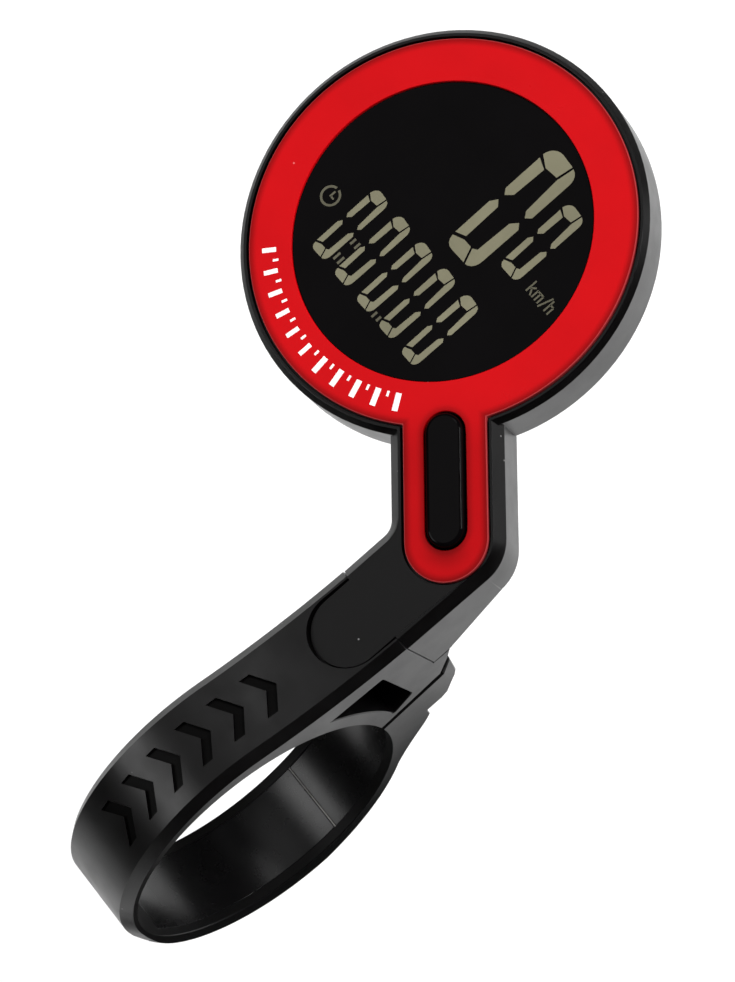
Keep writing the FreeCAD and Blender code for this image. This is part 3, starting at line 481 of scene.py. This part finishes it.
PLATE_NECK, PLATE_END = 4.36, 32.36
SLOT_LO, SLOT_HI, SLOT_R = 21.25, 31.25, 2.2
# painted shade and a painted highlight in the red plate's colour
paint_plate_shade_and_highlight(m_red)
m_lens = plastic("window_black", (0.0017, 0.0014, 0.0016), 0.10, grain=900, grain_strength=0.02, grain_mm=0.004,
                 vary=0.2, rough_vary=0.03, specular=0.07)
m_seg = plastic("lcd_segment", (0.172, 0.163, 0.108), 0.55, grain=4200, grain_strength=0.05, grain_mm=0.004,
                vary=0.14, specular=0.25)
m_seg_dim = plastic("lcd_segment_small", (0.088, 0.083, 0.058), 0.55, grain=4200, grain_strength=0.05, grain_mm=0.004,
                    vary=0.14, specular=0.25)
m_mark = plastic("printed_white", (0.82, 0.80, 0.79), 0.5, grain=7000, grain_strength=0.05, grain_mm=0.004,
                 vary=0.03)
m_button = plastic("button_gloss", (0.0016, 0.0013, 0.0015), 0.08, grain=5200, grain_strength=0.02,
                   grain_mm=0.003, rough_vary=0.02, specular=0.10)
m_liner = plastic("liner_rubber", (0.0018, 0.0017, 0.0019), 0.27, grain=7000, grain_strength=0.05,
                  grain_mm=0.006, rough_vary=0.015)
m_bore = plastic("bore_plastic", (0.0014, 0.0013, 0.0014), 0.50, grain=4200, grain_strength=0.08,
                 grain_mm=0.008, rough_vary=0.04, specular=0.22)
m_mark_floor = plastic("engraved_floor", (0.0012, 0.0011, 0.0011), 0.52, grain=4200, grain_strength=0.10,
                       grain_mm=0.008, rough_vary=0.06, specular=0.12)
m_pale_seam = plastic("seam_rubber", (0.17, 0.165, 0.16), 0.34, grain=2600, grain_strength=0.3, grain_mm=0.01,
                  rough_vary=0.08)
m_rubber = plastic("seal_rubber", (0.014, 0.014, 0.014), 0.66, grain=3000, grain_strength=0.25, grain_mm=0.012)
m_silicone = plastic("zebra_silicone", (0.16, 0.16, 0.16), 0.6, grain=2600, grain_strength=0.2, grain_mm=0.01)
m_polar = plastic("polarizer_film", (0.006, 0.006, 0.008), 0.2, grain=3000, grain_strength=0.03, grain_mm=0.003)
m_glassy = plastic("lcd_glass", (0.02, 0.024, 0.026), 0.07, grain=900, grain_strength=0.01, grain_mm=0.002)
m_reflect = plastic("reflector_film", (0.33, 0.33, 0.31), 0.35, grain=4200, grain_strength=0.1, grain_mm=0.004)
m_frame = plastic("frame_white", (0.66, 0.66, 0.64), 0.5, grain=3600, grain_strength=0.1, grain_mm=0.006, vary=0.05)
m_board = plastic("board_green", (0.010, 0.075, 0.028), 0.3, grain=1700, grain_strength=0.2, grain_mm=0.01, vary=0.3)
m_chip = plastic("chip_epoxy", (0.018, 0.018, 0.019), 0.5, grain=7500, grain_strength=0.3, grain_mm=0.008)
m_ceramic = plastic("ceramic_tan", (0.36, 0.24, 0.13), 0.4, grain=4800, grain_strength=0.15, grain_mm=0.006)
m_steel = brushed("plate_steel", (0.62, 0.62, 0.61), 0.28, "X")
m_cell = brushed("cell_steel", (0.66, 0.66, 0.65), 0.22, "Y")
m_screw = brushed("screw_steel", (0.05, 0.05, 0.052), 0.34, "Z")
m_brass = brushed("insert_brass", (0.60, 0.42, 0.16), 0.3, "Z")


def paint(ob, mat, body=None):
    ob.data.materials.clear()
    ob.data.materials.append(mat)
    if body:
        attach(ob, body)
    return ob


# --------------------------------------------------------------------------
# computer: shells, plate, window, button
# --------------------------------------------------------------------------
paint(cad_copy("upper_case", "case_shell", 0.07), m_case, "computer")
paint(cad_copy("lower_case", "back_shell", 0.07), m_back, "computer")
paint(cad_copy("face_plate", "plate_red", 0.10, 3), m_red, "computer")
paint(cad_copy("display_lens", "window", 0.08), m_lens, "computer")
paint(cad_copy("mode_button", "button_cap", 0.05), m_button, "button")
paint(cad_copy("battery_cover", "cell_cover", 0.08), m_back, "cover")
paint(cad_copy("case_screws", "back_screws", 0.05), m_screw, "computer")

# lit shapes of the display, on the window's face
GLYPH = {
    "top": [(1.03, 12.75), (1.10, 13.10), (1.22, 13.40), (1.42, 13.70), (1.66, 13.93), (1.92, 14.10), (2.20, 14.20),
            (2.58, 14.25), (4.30, 14.12), (3.98, 12.20), (2.38, 12.02)],
    "top_left": [(1.06, 12.32), (2.42, 11.82), (2.31, 7.85), (1.62, 7.12), (1.10, 7.70)],
    "top_right": [(4.50, 14.06), (4.86, 13.93), (5.16, 13.70), (5.38, 13.38), (5.50, 13.02), (5.54, 12.6),
                  (5.57, 7.66), (5.02, 7.10), (4.50, 7.73), (4.20, 12.09)],
    "low_left": [(1.06, 0.96), (1.00, 5.60), (1.52, 6.42), (2.14, 5.87), (2.25, 1.50)],
    "low": [(1.12, 0.62), (2.41, 1.16), (3.48, 1.18), (4.22, -0.42), (2.30, -0.47), (1.86, -0.42), (1.50, -0.22),
            (1.24, 0.12)],
    "low_right": [(3.70, 1.17), (4.20, 1.50), (4.34, 5.62), (5.00, 6.42), (5.54, 5.89), (5.53, 1.15), (5.48, 0.62),
                  (5.34, 0.22), (5.10, -0.10), (4.80, -0.32), (4.44, -0.42)],
}
# scale across, offset, scale up, offset, from the head's centre
DIGITS = [(1.0, 0.0, 1.0, 0.0), (0.634, 6.179, 0.644, 2.46),
          (0.545, -9.03, 0.613, -10.82), (0.545, -5.16, 0.613, -10.82), (0.545, -1.35, 0.613, -10.82),
          (0.545, 2.47, 0.613, -10.82), (0.545, 6.32, 0.613, -10.82)]
SEG_LOW, SEG_TOP = 13.945, 13.972


def stroke(p, q, w):
    d = Vector((q[0] - p[0], q[1] - p[1])).normalized()
    n = Vector((-d.y, d.x)) * (w / 2)
    return [(p[0] + n.x, p[1] + n.y), (p[0] - n.x, p[1] - n.y), (q[0] - n.x, q[1] - n.y), (q[0] + n.x, q[1] + n.y)]


def inset(pts, d):
    """The convex outline drawn in by d on every side."""
    area = signed(pts)
    if area < 0:
        pts = pts[::-1]
    out = []
    n = len(pts)
    for i in range(n):
        a, b, c = Vector(pts[i - 1]), Vector(pts[i]), Vector(pts[(i + 1) % n])
        e1, e2 = (b - a).normalized(), (c - b).normalized()
        n1, n2 = Vector((-e1.y, e1.x)), Vector((-e2.y, e2.x))
        k = n1 + n2
        k = k / max(k.dot(n1), 0.5)
        out.append(tuple(b + k * d))
    return out


def signed(pts):
    return sum(pts[i][0] * pts[(i + 1) % len(pts)][1] - pts[(i + 1) % len(pts)][0] * pts[i][1]
               for i in range(len(pts)))


shapes = []
for sx, ox, sy, oy in DIGITS:
    for pts in GLYPH.values():
        shapes.append(inset([(x * sx + ox, y * sy + oy) for x, y in pts], 0.015 if sx > 0.9 else 0.02))
big_count = len(shapes)
# small separators between the digits of the lower row
for p, q in [((-5.60, -7.92), (-5.60, -7.13)), ((-4.93, -7.90), (-4.93, -7.10)),
             ((-5.60, -10.20), (-5.60, -9.25)), ((-4.93, -10.20), (-4.93, -9.25)),
             ((2.06, -11.05), (2.06, -10.30)), ((2.72, -10.95), (2.72, -10.30))]:
    shapes.append(stroke(p, q, 0.27))
# clock sign at the left of the lower row
cx, cy, cr = -11.15, -6.25, 1.15
ring = []
for k in range(25):
    a = math.radians(100 + 340 * k / 24)
    ring.append((cx + cr * math.cos(a), cy + cr * math.sin(a)))
for k in range(25):
    a = math.radians(440 - 340 * k / 24)
    ring.append((cx + (cr - 0.26) * math.cos(a), cy + (cr - 0.26) * math.sin(a)))
shapes.append(ring)
shapes.append(stroke((cx, cy - 0.10), (cx, cy + 0.66), 0.22))
shapes.append(stroke((cx + 0.05, cy), (cx + 0.52, cy), 0.2))
# unit of speed, in thin strokes
UX, UY = 11.05, 2.45
for p, q in [((0.0, 0.0), (0.0, 1.45)), ((0.08, 0.50), (0.60, 0.98)), ((0.24, 0.62), (0.66, 0.0)),
             ((0.92, 0.0), (0.92, 1.0)), ((0.92, 0.92), (1.36, 0.92)), ((1.36, 0.0), (1.36, 0.92)),
             ((1.36, 0.92), (1.80, 0.92)), ((1.80, 0.0), (1.80, 0.92)), ((2.10, -0.15), (2.66, 1.55)),
             ((2.92, 0.0), (2.92, 1.45)), ((2.92, 0.92), (3.42, 0.92)), ((3.42, 0.0), (3.42, 0.92))]:
    shapes.append(stroke((UX + p[0], UY + p[1]), (UX + q[0], UY + q[1]), 0.19))


def plates(name, polys, z0, z1):
    """Many flat closed chips in one mesh, placed from the head's centre."""
    verts, faces = [], []
    for pts in polys:
        area = sum(pts[i][0] * pts[(i + 1) % len(pts)][1] - pts[(i + 1) % len(pts)][0] * pts[i][1]
                   for i in range(len(pts)))
        if area < 0:
            pts = pts[::-1]
        n, base = len(pts), len(verts)
        verts += [(HX + x, HY + y, z0) for x, y in pts] + [(HX + x, HY + y, z1) for x, y in pts]
        for t in tessellate_polygon([[Vector((x, y, 0)) for x, y in pts]]):
            faces.append(tuple(base + n + i for i in t))
            faces.append(tuple(base + i for i in reversed(t)))
        faces += [tuple(base + i for i in f) for f in loop_faces(n, 0, n)]
    return new_object(name, verts, faces)


segs = plates("display_segments", shapes, SEG_LOW, SEG_TOP)
bm = bmesh.new()
bm.from_mesh(segs.data)
bmesh.ops.recalc_face_normals(bm, faces=bm.faces)
bm.to_mesh(segs.data)
bm.free()
paint(segs, m_seg, "computer")
segs.data.materials.append(m_seg_dim)
first_small = sum(2 * len(p) for p in shapes[:big_count])
for p in segs.data.polygons:
    if min(p.vertices) >= first_small:
        p.material_index = 1

# plain printed scale on the plate, along its lower edge
marks = []
for k in range(21):
    a = math.radians(-127.0 + 74.0 * k / 20)
    if k % 2 == 0:
        r0, r1, w = (17.35, 19.25, 0.62) if k >= 12 else (17.55, 19.05, 0.50)
    else:
        r0, r1, w = 17.35, 17.95, 0.26
    u, t = (math.cos(a), math.sin(a)), (-math.sin(a), math.cos(a))
    marks.append([(r0 * u[0] - t[0] * w / 2, r0 * u[1] - t[1] * w / 2),
                  (r1 * u[0] - t[0] * w / 2, r1 * u[1] - t[1] * w / 2),
                  (r1 * u[0] + t[0] * w / 2, r1 * u[1] + t[1] * w / 2),
                  (r0 * u[0] + t[0] * w / 2, r0 * u[1] + t[1] * w / 2)])
scale = plates("plate_scale", marks, TOP - 0.01, TOP + 0.012)
bm = bmesh.new()
bm.from_mesh(scale.data)
bmesh.ops.recalc_face_normals(bm, faces=bm.faces)
bm.to_mesh(scale.data)
bm.free()
paint(scale, m_mark, "computer")

# --------------------------------------------------------------------------
# clamp band: one smooth loop in three pieces, with its thin rear wall a piece of its own
# --------------------------------------------------------------------------
CUT = 3.2                      # the flexible stretch runs this far above and below the bore's centre
OUT_TOP, OUT_LOW = 1.0, 0.15   # chamfer along the outside, over the top and underneath
BORE_A, BORE_B = 0.06, 0.08    # chamfer round the bore


def out_ch(z):
    """Chamfer of the outside at height z: broad on top, fading to a narrow one below."""
    t = min(max((1.0 - z) / 8.0, 0.0), 1.0)
    return OUT_TOP + (OUT_LOW - OUT_TOP) * t * t * (3 - 2 * t)


def far_side(y):
    """The chamfer on the -X side is broad along the arm and narrow round the band."""
    t = min(max((9.0 - y) / 24.0, 0.0), 1.0)
    return 1.0 - 0.30 * t * t * (3 - 2 * t)


def outer_rear(z):
    """y of the outside at the rear, at height z."""
    if z >= -0.17:
        return RCY - math.sqrt(RO * RO - (z - RCZ) ** 2)
    cyy, czz, rad = circle_through((-17.445, -0.17), polar(-169.0, 17.33), polar(-158.0, 17.42))
    return cyy - math.sqrt(rad * rad - (z - czz) ** 2)


def bore_rear(z):
    return -math.sqrt(R_BORE ** 2 - z * z)


def bore_finish(ob):
    """The bore and the floors of the engraved marks are duller than the moulded outside."""
    ob.data.materials.append(m_bore)
    ob.data.materials.append(m_mark_floor)
    for p in ob.data.polygons:
        c, nrm = p.center / MM, p.normal
        r = math.hypot(c.y, c.z)
        if r < 16.45 and c.z < 12.6 and (nrm.y * c.y + nrm.z * c.z) / r < -0.8:
            p.material_index = 1
        elif nrm.z > 0.6 and abs(c.x) < 2.6 and c.y < 12.5 and 0.2 < top_z(c.y) - c.z < 0.6:
            p.material_index = 2


# upper part: from the rear wall over the top, round the arm's front, and back along the bore
a_cut_out = 180.0 - math.degrees(math.asin((CUT - RCZ) / RO))
a_tan = math.degrees(math.atan2(top_z(6.0) - RCZ, 6.0 - RCY))
up = []
up_outer = arc3(RCY, RCZ, RO, a_cut_out, a_tan, 70)
up_outer += [(6.0 + (24.02 - 6.0) * k / 36, top_z(6.0 + (24.02 - 6.0) * k / 36)) for k in range(1, 37)]
front = [(24.085, 13.2), (24.62, 5.42), (26.87, 5.38), (25.95, 3.85), (25.0, 2.72), (24.2, 1.72)]
slit_in = polar(2.9, R_BORE)
a_cut_in = 180.0 - math.degrees(math.asin(CUT / R_BORE))
up_bore = [polar(2.9 + (a_cut_in - 2.9) * k / 96, R_BORE) for k in range(97)]
# listed with the solid on the left: bore up from the slit, round to the rear, out, and over the top backwards
path = []
for p in up_bore[:-1]:
    path.append((p[0], p[1], BORE_A, BORE_B))
path.append((up_bore[-1][0], up_bore[-1][1], 0.0, 0.0))
for p in up_outer[:-1]:
    path.append((p[0], p[1], out_ch(p[1]), out_ch(p[1])))
path.append((up_outer[-1][0], up_outer[-1][1], 0.10, 0.10))
for p in front:
    path.append((p[0], p[1], 0.10, 0.10))
mid = (slit_in[0] + 0.45, slit_in[1] + 0.45 * (1.72 - slit_in[1]) / (24.2 - slit_in[0]))
path.append((mid[0], mid[1], 0.10, 0.10))
path = path[::-1]
# an edge's sizes belong to the point it starts from, so they shift by one when reversed
sizes = [(p[2], p[3]) for p in path]
path = [(p[0], p[1]) + sizes[(i + 1) % len(path)] for i, p in enumerate(path)]

win = [(13.55, 11.62)]
win += [(19.7, 11.22)]
win += arc_pts((19.7, 11.22), (20.02, 11.12), (20.12, 10.8), 6)
win += [(20.72, 3.2)]
win += arc_pts((20.72, 3.2), (20.66, 2.87), (20.35, 2.7), 6)
win += [(18.3, 1.98)]
win += arc_pts((18.3, 1.98), (17.95, 2.02), (17.85, 2.35), 6)
win += arc_pts((17.85, 2.35), (16.55, 6.7), (13.55, 11.62), 24)[:-1]


def signed_area(pts):
    return sum(pts[i][0] * pts[(i + 1) % len(pts)][1] - pts[(i + 1) % len(pts)][0] * pts[i][1]
               for i in range(len(pts))) / 2


if signed_area(path) < 0:
    sizes = [(p[2], p[3]) for p in path]
    path = [(p[0], p[1]) + sizes[i - 1] for i, p in enumerate(path)][::-1]
if signed_area(win) > 0:
    win = win[::-1]
band_up = band_solid("clamp_band_upper", [path, [(p[0], p[1], 0.10, 0.10) for p in win]], far_side)


def bore_cutter(name, r0, r1, half, a0, a1, n=96):
    """A sector of a ring about the bore's axis."""
    verts, faces = [], []
    for k in range(n + 1):
        a = a0 + (a1 - a0) * k / n
        p, q_ = polar(a, r0), polar(a, r1)
        verts += [(-half, p[0], p[1]), (-half, q_[0], q_[1]), (half, q_[0], q_[1]), (half, p[0], p[1])]
    for k in range(n):
        a, b = 4 * k, 4 * (k + 1)
        for j in range(4):
            faces.append((a + j, a + (j + 1) % 4, b + (j + 1) % 4, b + j))
    faces += [(0, 1, 2, 3), (4 * n + 3, 4 * n + 2, 4 * n + 1, 4 * n)]
    return clean(new_object(name, verts, faces))


def tube_z(name, r, z0, z1, y, n=48):
    pts = [(r * math.cos(2 * math.pi * k / n), y + r * math.sin(2 * math.pi * k / n)) for k in range(n)]
    return prism_xy(name, pts, z0, z1)


def tongue_plan(half, y1, grow=0.0):
    pts = [(half + grow, y1)]
    for k in range(33):
        a = -math.pi * k / 32
        pts.append(((half + grow) * math.cos(a), 20.85 + (half + grow) * math.sin(a)))
    pts.append((-half - grow, y1))
    return pts


boolean(band_up, bore_cutter("c", 15.0, 16.4, 4.2, 12.0, 168.0))
boolean(band_up, prism_xy("c", tongue_plan(3.9, 27.0, 0.22), 12.95, 18))
boolean(band_up, prism_xy("c", tongue_plan(4.35, 27.0, 0.09), 12.64, 13.46))
boolean(band_up, prism_xy("c", [(-2.5, 21.8), (2.5, 21.8), (2.5, 26), (-2.5, 26)], 7.4, 11.1))
boolean(band_up, tube_z("c", 1.25, 0.0, 6.2, 22.4))
boolean(band_up, tube_z("c", 1.36, 2.3, 5.2, 22.4))
for yc in (10.6, 6.7, 2.8, -1.1, -4.9, -8.4):
    w = 0.62
    bar = [(-2.5, yc - w - 0.65), (0.0, yc - w + 0.9), (2.5, yc - w - 0.65),
           (2.5, yc + w - 0.65), (0.0, yc + w + 0.9), (-2.5, yc + w - 0.65)]
    boolean(band_up, prism_xy("c", bar, lambda x, y: top_z(y) - 0.38, lambda x, y: top_z(y) + 1.0))
clean(band_up, 3e-6)
smooth(band_up, 24)
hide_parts("bracket_body")
paint(band_up, m_arm, "bracket")
bore_finish(band_up)

# lower jaw: bore round to the slit, front lug, screw ear, and the outside back to the rear
a_low_in = -(180.0 - math.degrees(math.asin(CUT / R_BORE)))
jaw_outer_end = (outer_rear(-CUT), -CUT)
jaw = []
for k in range(97):
    p = polar(a_low_in + (1.1 - a_low_in) * k / 96, R_BORE)
    jaw.append((p[0], p[1], BORE_A, BORE_B))
jaw[-1] = (jaw[-1][0], jaw[-1][1], 0.20, 0.22)
jaw.append((jaw[-1][0] + 0.45, jaw[-1][1] + 0.05, 0.20, 0.22))
outline = [(24.35, 1.14), (25.25, 2.36), (26.02, 3.36), (25.5, -0.4), (25.1, -1.2), (24.15, -2.36),
           (23.2, -3.6), (22.2, -3.97), (20.3, -4.0), (20.15, -5.32), (19.1, -6.3), (17.06, -7.75)]
for p in outline:
    jaw.append((p[0], p[1], 0.12, 0.12))
lows = arc_pts((17.06, -7.75), (15.5, -8.98), (14.0, -10.36), 8)
lows += arc_pts((14.0, -10.36), polar(-57.0, 17.52), polar(-87.0, 18.38), 40)
lows += arc_pts(polar(-87.0, 18.38), polar(-128.0, 18.12), polar(-158.0, 17.42), 60)
lows += [p for p in arc_pts(polar(-158.0, 17.42), polar(-169.0, 17.33), (-17.445, -0.17), 36) if p[1] < -CUT - 0.1]
for i, p in enumerate(lows):
    ang = math.degrees(math.atan2(p[1], p[0]))
    t = min(max((-50.0 - ang) / 40.0, 0.0), 1.0)
    t = t * t * (3 - 2 * t)
    c = 0.12 + (out_ch(p[1]) - 0.12) * t
    jaw.append((p[0], p[1], c, c))
jaw.append((jaw_outer_end[0], jaw_outer_end[1], 0.0, 0.0))
# the solid lies on the right of this path, so it is turned round
sizes = [(p[2], p[3]) for p in jaw]
rev = [(p[0], p[1]) for p in jaw][::-1]
n = len(jaw)
jaw = [rev[i] + sizes[(n - 2 - i) % n] for i in range(n)]
if signed_area(jaw) < 0:
    raise RuntimeError("the jaw's outline runs the wrong way round")
band_low = band_solid("clamp_band_lower", [jaw], far_side)
boolean(band_low, bore_cutter("c", 15.0, 16.4, 4.2, -168.0, -9.0))
boolean(band_low, tube_z("c", 1.25, -8.0, 3.0, 22.4))
boolean(band_low, tube_z("c", 2.0, -12.0, -2.3, 22.4))
clean(band_low, 3e-6)
smooth(band_low, 24)
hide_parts("clamp_jaw")
paint(band_low, m_arm, "jaw")
bore_finish(band_low)

# rear wall between the two, left unattached to either body
flex = []
N = 24
for k in range(N + 1):
    z = CUT - 2 * CUT * k / N
    flex.append((outer_rear(z), z))
back = []
for k in range(N + 1):
    z = -CUT + 2 * CUT * k / N
    back.append((bore_rear(z), z))
loop = [(p[0], p[1], out_ch(p[1]), out_ch(p[1])) for p in flex[:-1]] + [(flex[-1][0], flex[-1][1], 0.0, 0.0)]
loop += [(p[0], p[1], BORE_A, BORE_B) for p in back[:-1]] + [(back[-1][0], back[-1][1], 0.0, 0.0)]
if signed_area(loop) < 0:
    raise RuntimeError("the flexing wall's outline runs the wrong way round")
band_flex = band_solid("clamp_band_flex", [loop], far_side)
smooth(band_flex, 24)
paint(band_flex, m_arm, None)
bore_finish(band_flex)
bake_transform(band_flex)

# grip liners, the bead at their joint, screw and washer
for node, body in (("liner_upper", "bracket"), ("liner_rear", "jaw"), ("liner_front", "jaw")):
    paint(cad_copy(node, node.replace("liner", "grip"), 0.10, 3), m_liner, body)
# a pale bead along the joint between the two lower liners
seam = []
for k in range(41):
    x = -4.16 + 8.32 * k / 40
    for j in range(6):
        a = 2 * math.pi * j / 6
        p = polar(-75.70 + math.degrees(0.085 * math.cos(a) / 16.0), 15.975 + 0.05 * math.sin(a))
        seam.append((x + 0.0, p[0], p[1]))
seam_faces = []
for k in range(40):
    seam_faces += [(6 * k + j, 6 * k + (j + 1) % 6, 6 * k + 6 + (j + 1) % 6, 6 * k + 6 + j) for j in range(6)]
seam_faces += [tuple(range(6)), tuple(range(245, 239, -1))]
bead = clean(new_object("grip_seam", seam, seam_faces))
paint(smooth(bead, 60), m_pale_seam, "jaw")

paint(cad_copy("clamp_bolt", "screw_clamp", 0.06), m_screw, "screw")
paint(cad_copy("clamp_washer", "washer_clamp", 0.04), m_steel, "jaw")

# CAD pieces that show as they are
for node, mat in {
        "clamp_nut": m_brass, "lcd_front_polarizer": m_polar, "lcd_front_glass": m_glassy,
        "lcd_rear_glass": m_glassy, "lcd_reflector": m_reflect, "lcd_frame": m_frame,
        "zebra_connector": m_silicone, "main_pcb": m_board, "mcu_chip": m_chip, "clock_crystal": m_steel,
        "antenna_coil": m_ceramic, "chip_capacitors": m_ceramic, "tact_switch": m_steel,
        "button_boot": m_rubber, "coin_cell": m_cell, "contact_plus": m_steel, "contact_minus": m_steel,
        "cover_seal": m_rubber, "case_gasket": m_rubber, "switch_plunger": m_chip}.items():
    ob = NODES[node]
    ob.data.materials.clear()
    ob.data.materials.append(mat)

# --------------------------------------------------------------------------
# floor, light and camera
# --------------------------------------------------------------------------
FLOOR_Z = -150.0
FLOOR_R = 1250.0
rim = [(FLOOR_R * math.cos(math.radians(5 * k)) - 8.0, FLOOR_R * math.sin(math.radians(5 * k)) + 28.0) for k in range(72)]
floor = new_object("floor", [(x, y, FLOOR_Z) for x, y in rim], [tuple(range(72))])
m, nt, b = nodes_of("floor_paper")
v = coords(nt)
link(nt, ramp(nt, noise(nt, v, 6, 3), [(0.3, (0.90, 0.90, 0.90)), (0.7, (0.93, 0.93, 0.93))]), b.inputs["Base Color"])
b.inputs["Roughness"].default_value = 0.8
b.inputs["Specular IOR Level"].default_value = 0.2
floor.data.materials.append(m)

# pale paper wall round the floor, seen by the camera and by nothing else
wall = new_object("wall", [(x, y, FLOOR_Z) for x, y in rim] + [(x, y, 1400.0) for x, y in rim], loop_faces(72, 0, 72))
m, nt, b = nodes_of("wall_paper")
v = coords(nt)
link(nt, ramp(nt, noise(nt, v, 2, 2), [(0.3, (0.84, 0.84, 0.84)), (0.7, (0.86, 0.86, 0.86))]), b.inputs["Emission Color"])
b.inputs["Base Color"].default_value = (0, 0, 0, 1)
b.inputs["Roughness"].default_value = 1.0
b.inputs["Specular IOR Level"].default_value = 0.0
b.inputs["Emission Strength"].default_value = 1.0
wall.data.materials.append(m)
wall.visible_diffuse = False
wall.visible_glossy = False
wall.visible_shadow = False
wall.visible_transmission = False

world = bpy.data.worlds.new("studio")
bpy.context.scene.world = world
world.use_nodes = True
world.node_tree.nodes["Background"].inputs["Color"].default_value = (1, 1, 1, 1)
world.node_tree.nodes["Background"].inputs["Strength"].default_value = 0.012


def softbox(name, pos, target, size_x, size_y, power, glossy=True):
    d = bpy.data.lights.new(name, "AREA")
    d.shape = "RECTANGLE"
    d.size, d.size_y = size_x, size_y
    d.energy = power
    o = bpy.data.objects.new(name, d)
    bpy.context.scene.collection.objects.link(o)
    o.location = pos
    o.rotation_euler = (Vector(target) - Vector(pos)).to_track_quat("-Z", "Y").to_euler()
    o.visible_glossy = glossy
    return o


C0 = (-0.008, 0.028, 0.0)
# broad light that fills the plates and the floor, kept out of the reflections
softbox("key", (0.25, 1.15, 1.05), (-0.02, 0.05, 0), 1.0, 1.0, 37, False)
softbox("fill", (0.70, -0.75, 1.15), C0, 1.0, 1.0, 9, False)
# soft reflections: one behind on the left for the band's crown, one thin one for the button's edge
softbox("crown", (-0.50, -0.62, 0.95), C0, 0.50, 0.50, 2.5)
softbox("edge", (0.24, 0.84, 0.84), C0, 0.30, 0.04, 1.7)
softbox("side", (0.44, 1.12, 0.36), C0, 0.36, 0.36, 0.50)
softbox("top", (-0.58, 0.17, 1.20), C0, 0.62, 0.62, 0.60)
softbox("bend", (-0.507, 0.509, 1.105), C0, 0.24, 0.24, 0.42)

# dark flags beneath and beside the clamp, seen only in its reflections
m, nt, b = nodes_of("flag_cloth")
v = coords(nt)
link(nt, ramp(nt, noise(nt, v, 900, 3), [(0.3, (0.012, 0.012, 0.012)), (0.7, (0.018, 0.018, 0.018))]),
     b.inputs["Base Color"])
b.inputs["Roughness"].default_value = 0.9
under = [(4, -44), (45, -44), (44, -18), (20, -5), (13, 8), (13, 18), (9, 23), (4, 23)]
beside = [(-2.5, -9), (14, -9), (14, 10), (3.0, 10), (-2.5, -6)]
for name, pts in (("flag", [(x, y, -24) for x, y in under]), ("flag_side", [(-9, y, z) for y, z in beside])):
    flag = new_object(name, pts, [tuple(range(len(pts)))])
    flag.data.materials.append(m)
    flag.visible_camera = False
    flag.visible_diffuse = False
    flag.visible_shadow = False
    flag.visible_transmission = False

cam = bpy.data.cameras.new("camera")
cam.sensor_fit = "AUTO"
cam.sensor_width = 36.0
cam.lens = 4648.175 * 36.0 / 982.0
cam.clip_start = 0.02
cam.clip_end = 20.0
co = bpy.data.objects.new("camera", cam)
bpy.context.scene.collection.objects.link(co)
right = Vector((0.58913, 0.7513, -0.29744))
up_ = -Vector((0.71123, -0.65685, -0.25041))
back_ = -Vector((-0.38351, -0.06402, -0.92131))
rot = Matrix((right, up_, back_)).transposed().to_4x4()
co.matrix_world = Matrix.Translation(Vector((168.38, 60.89, 442.27)) * MM) @ rot
bpy.context.scene.camera = co
bpy.context.scene.view_settings.view_transform = "Standard"
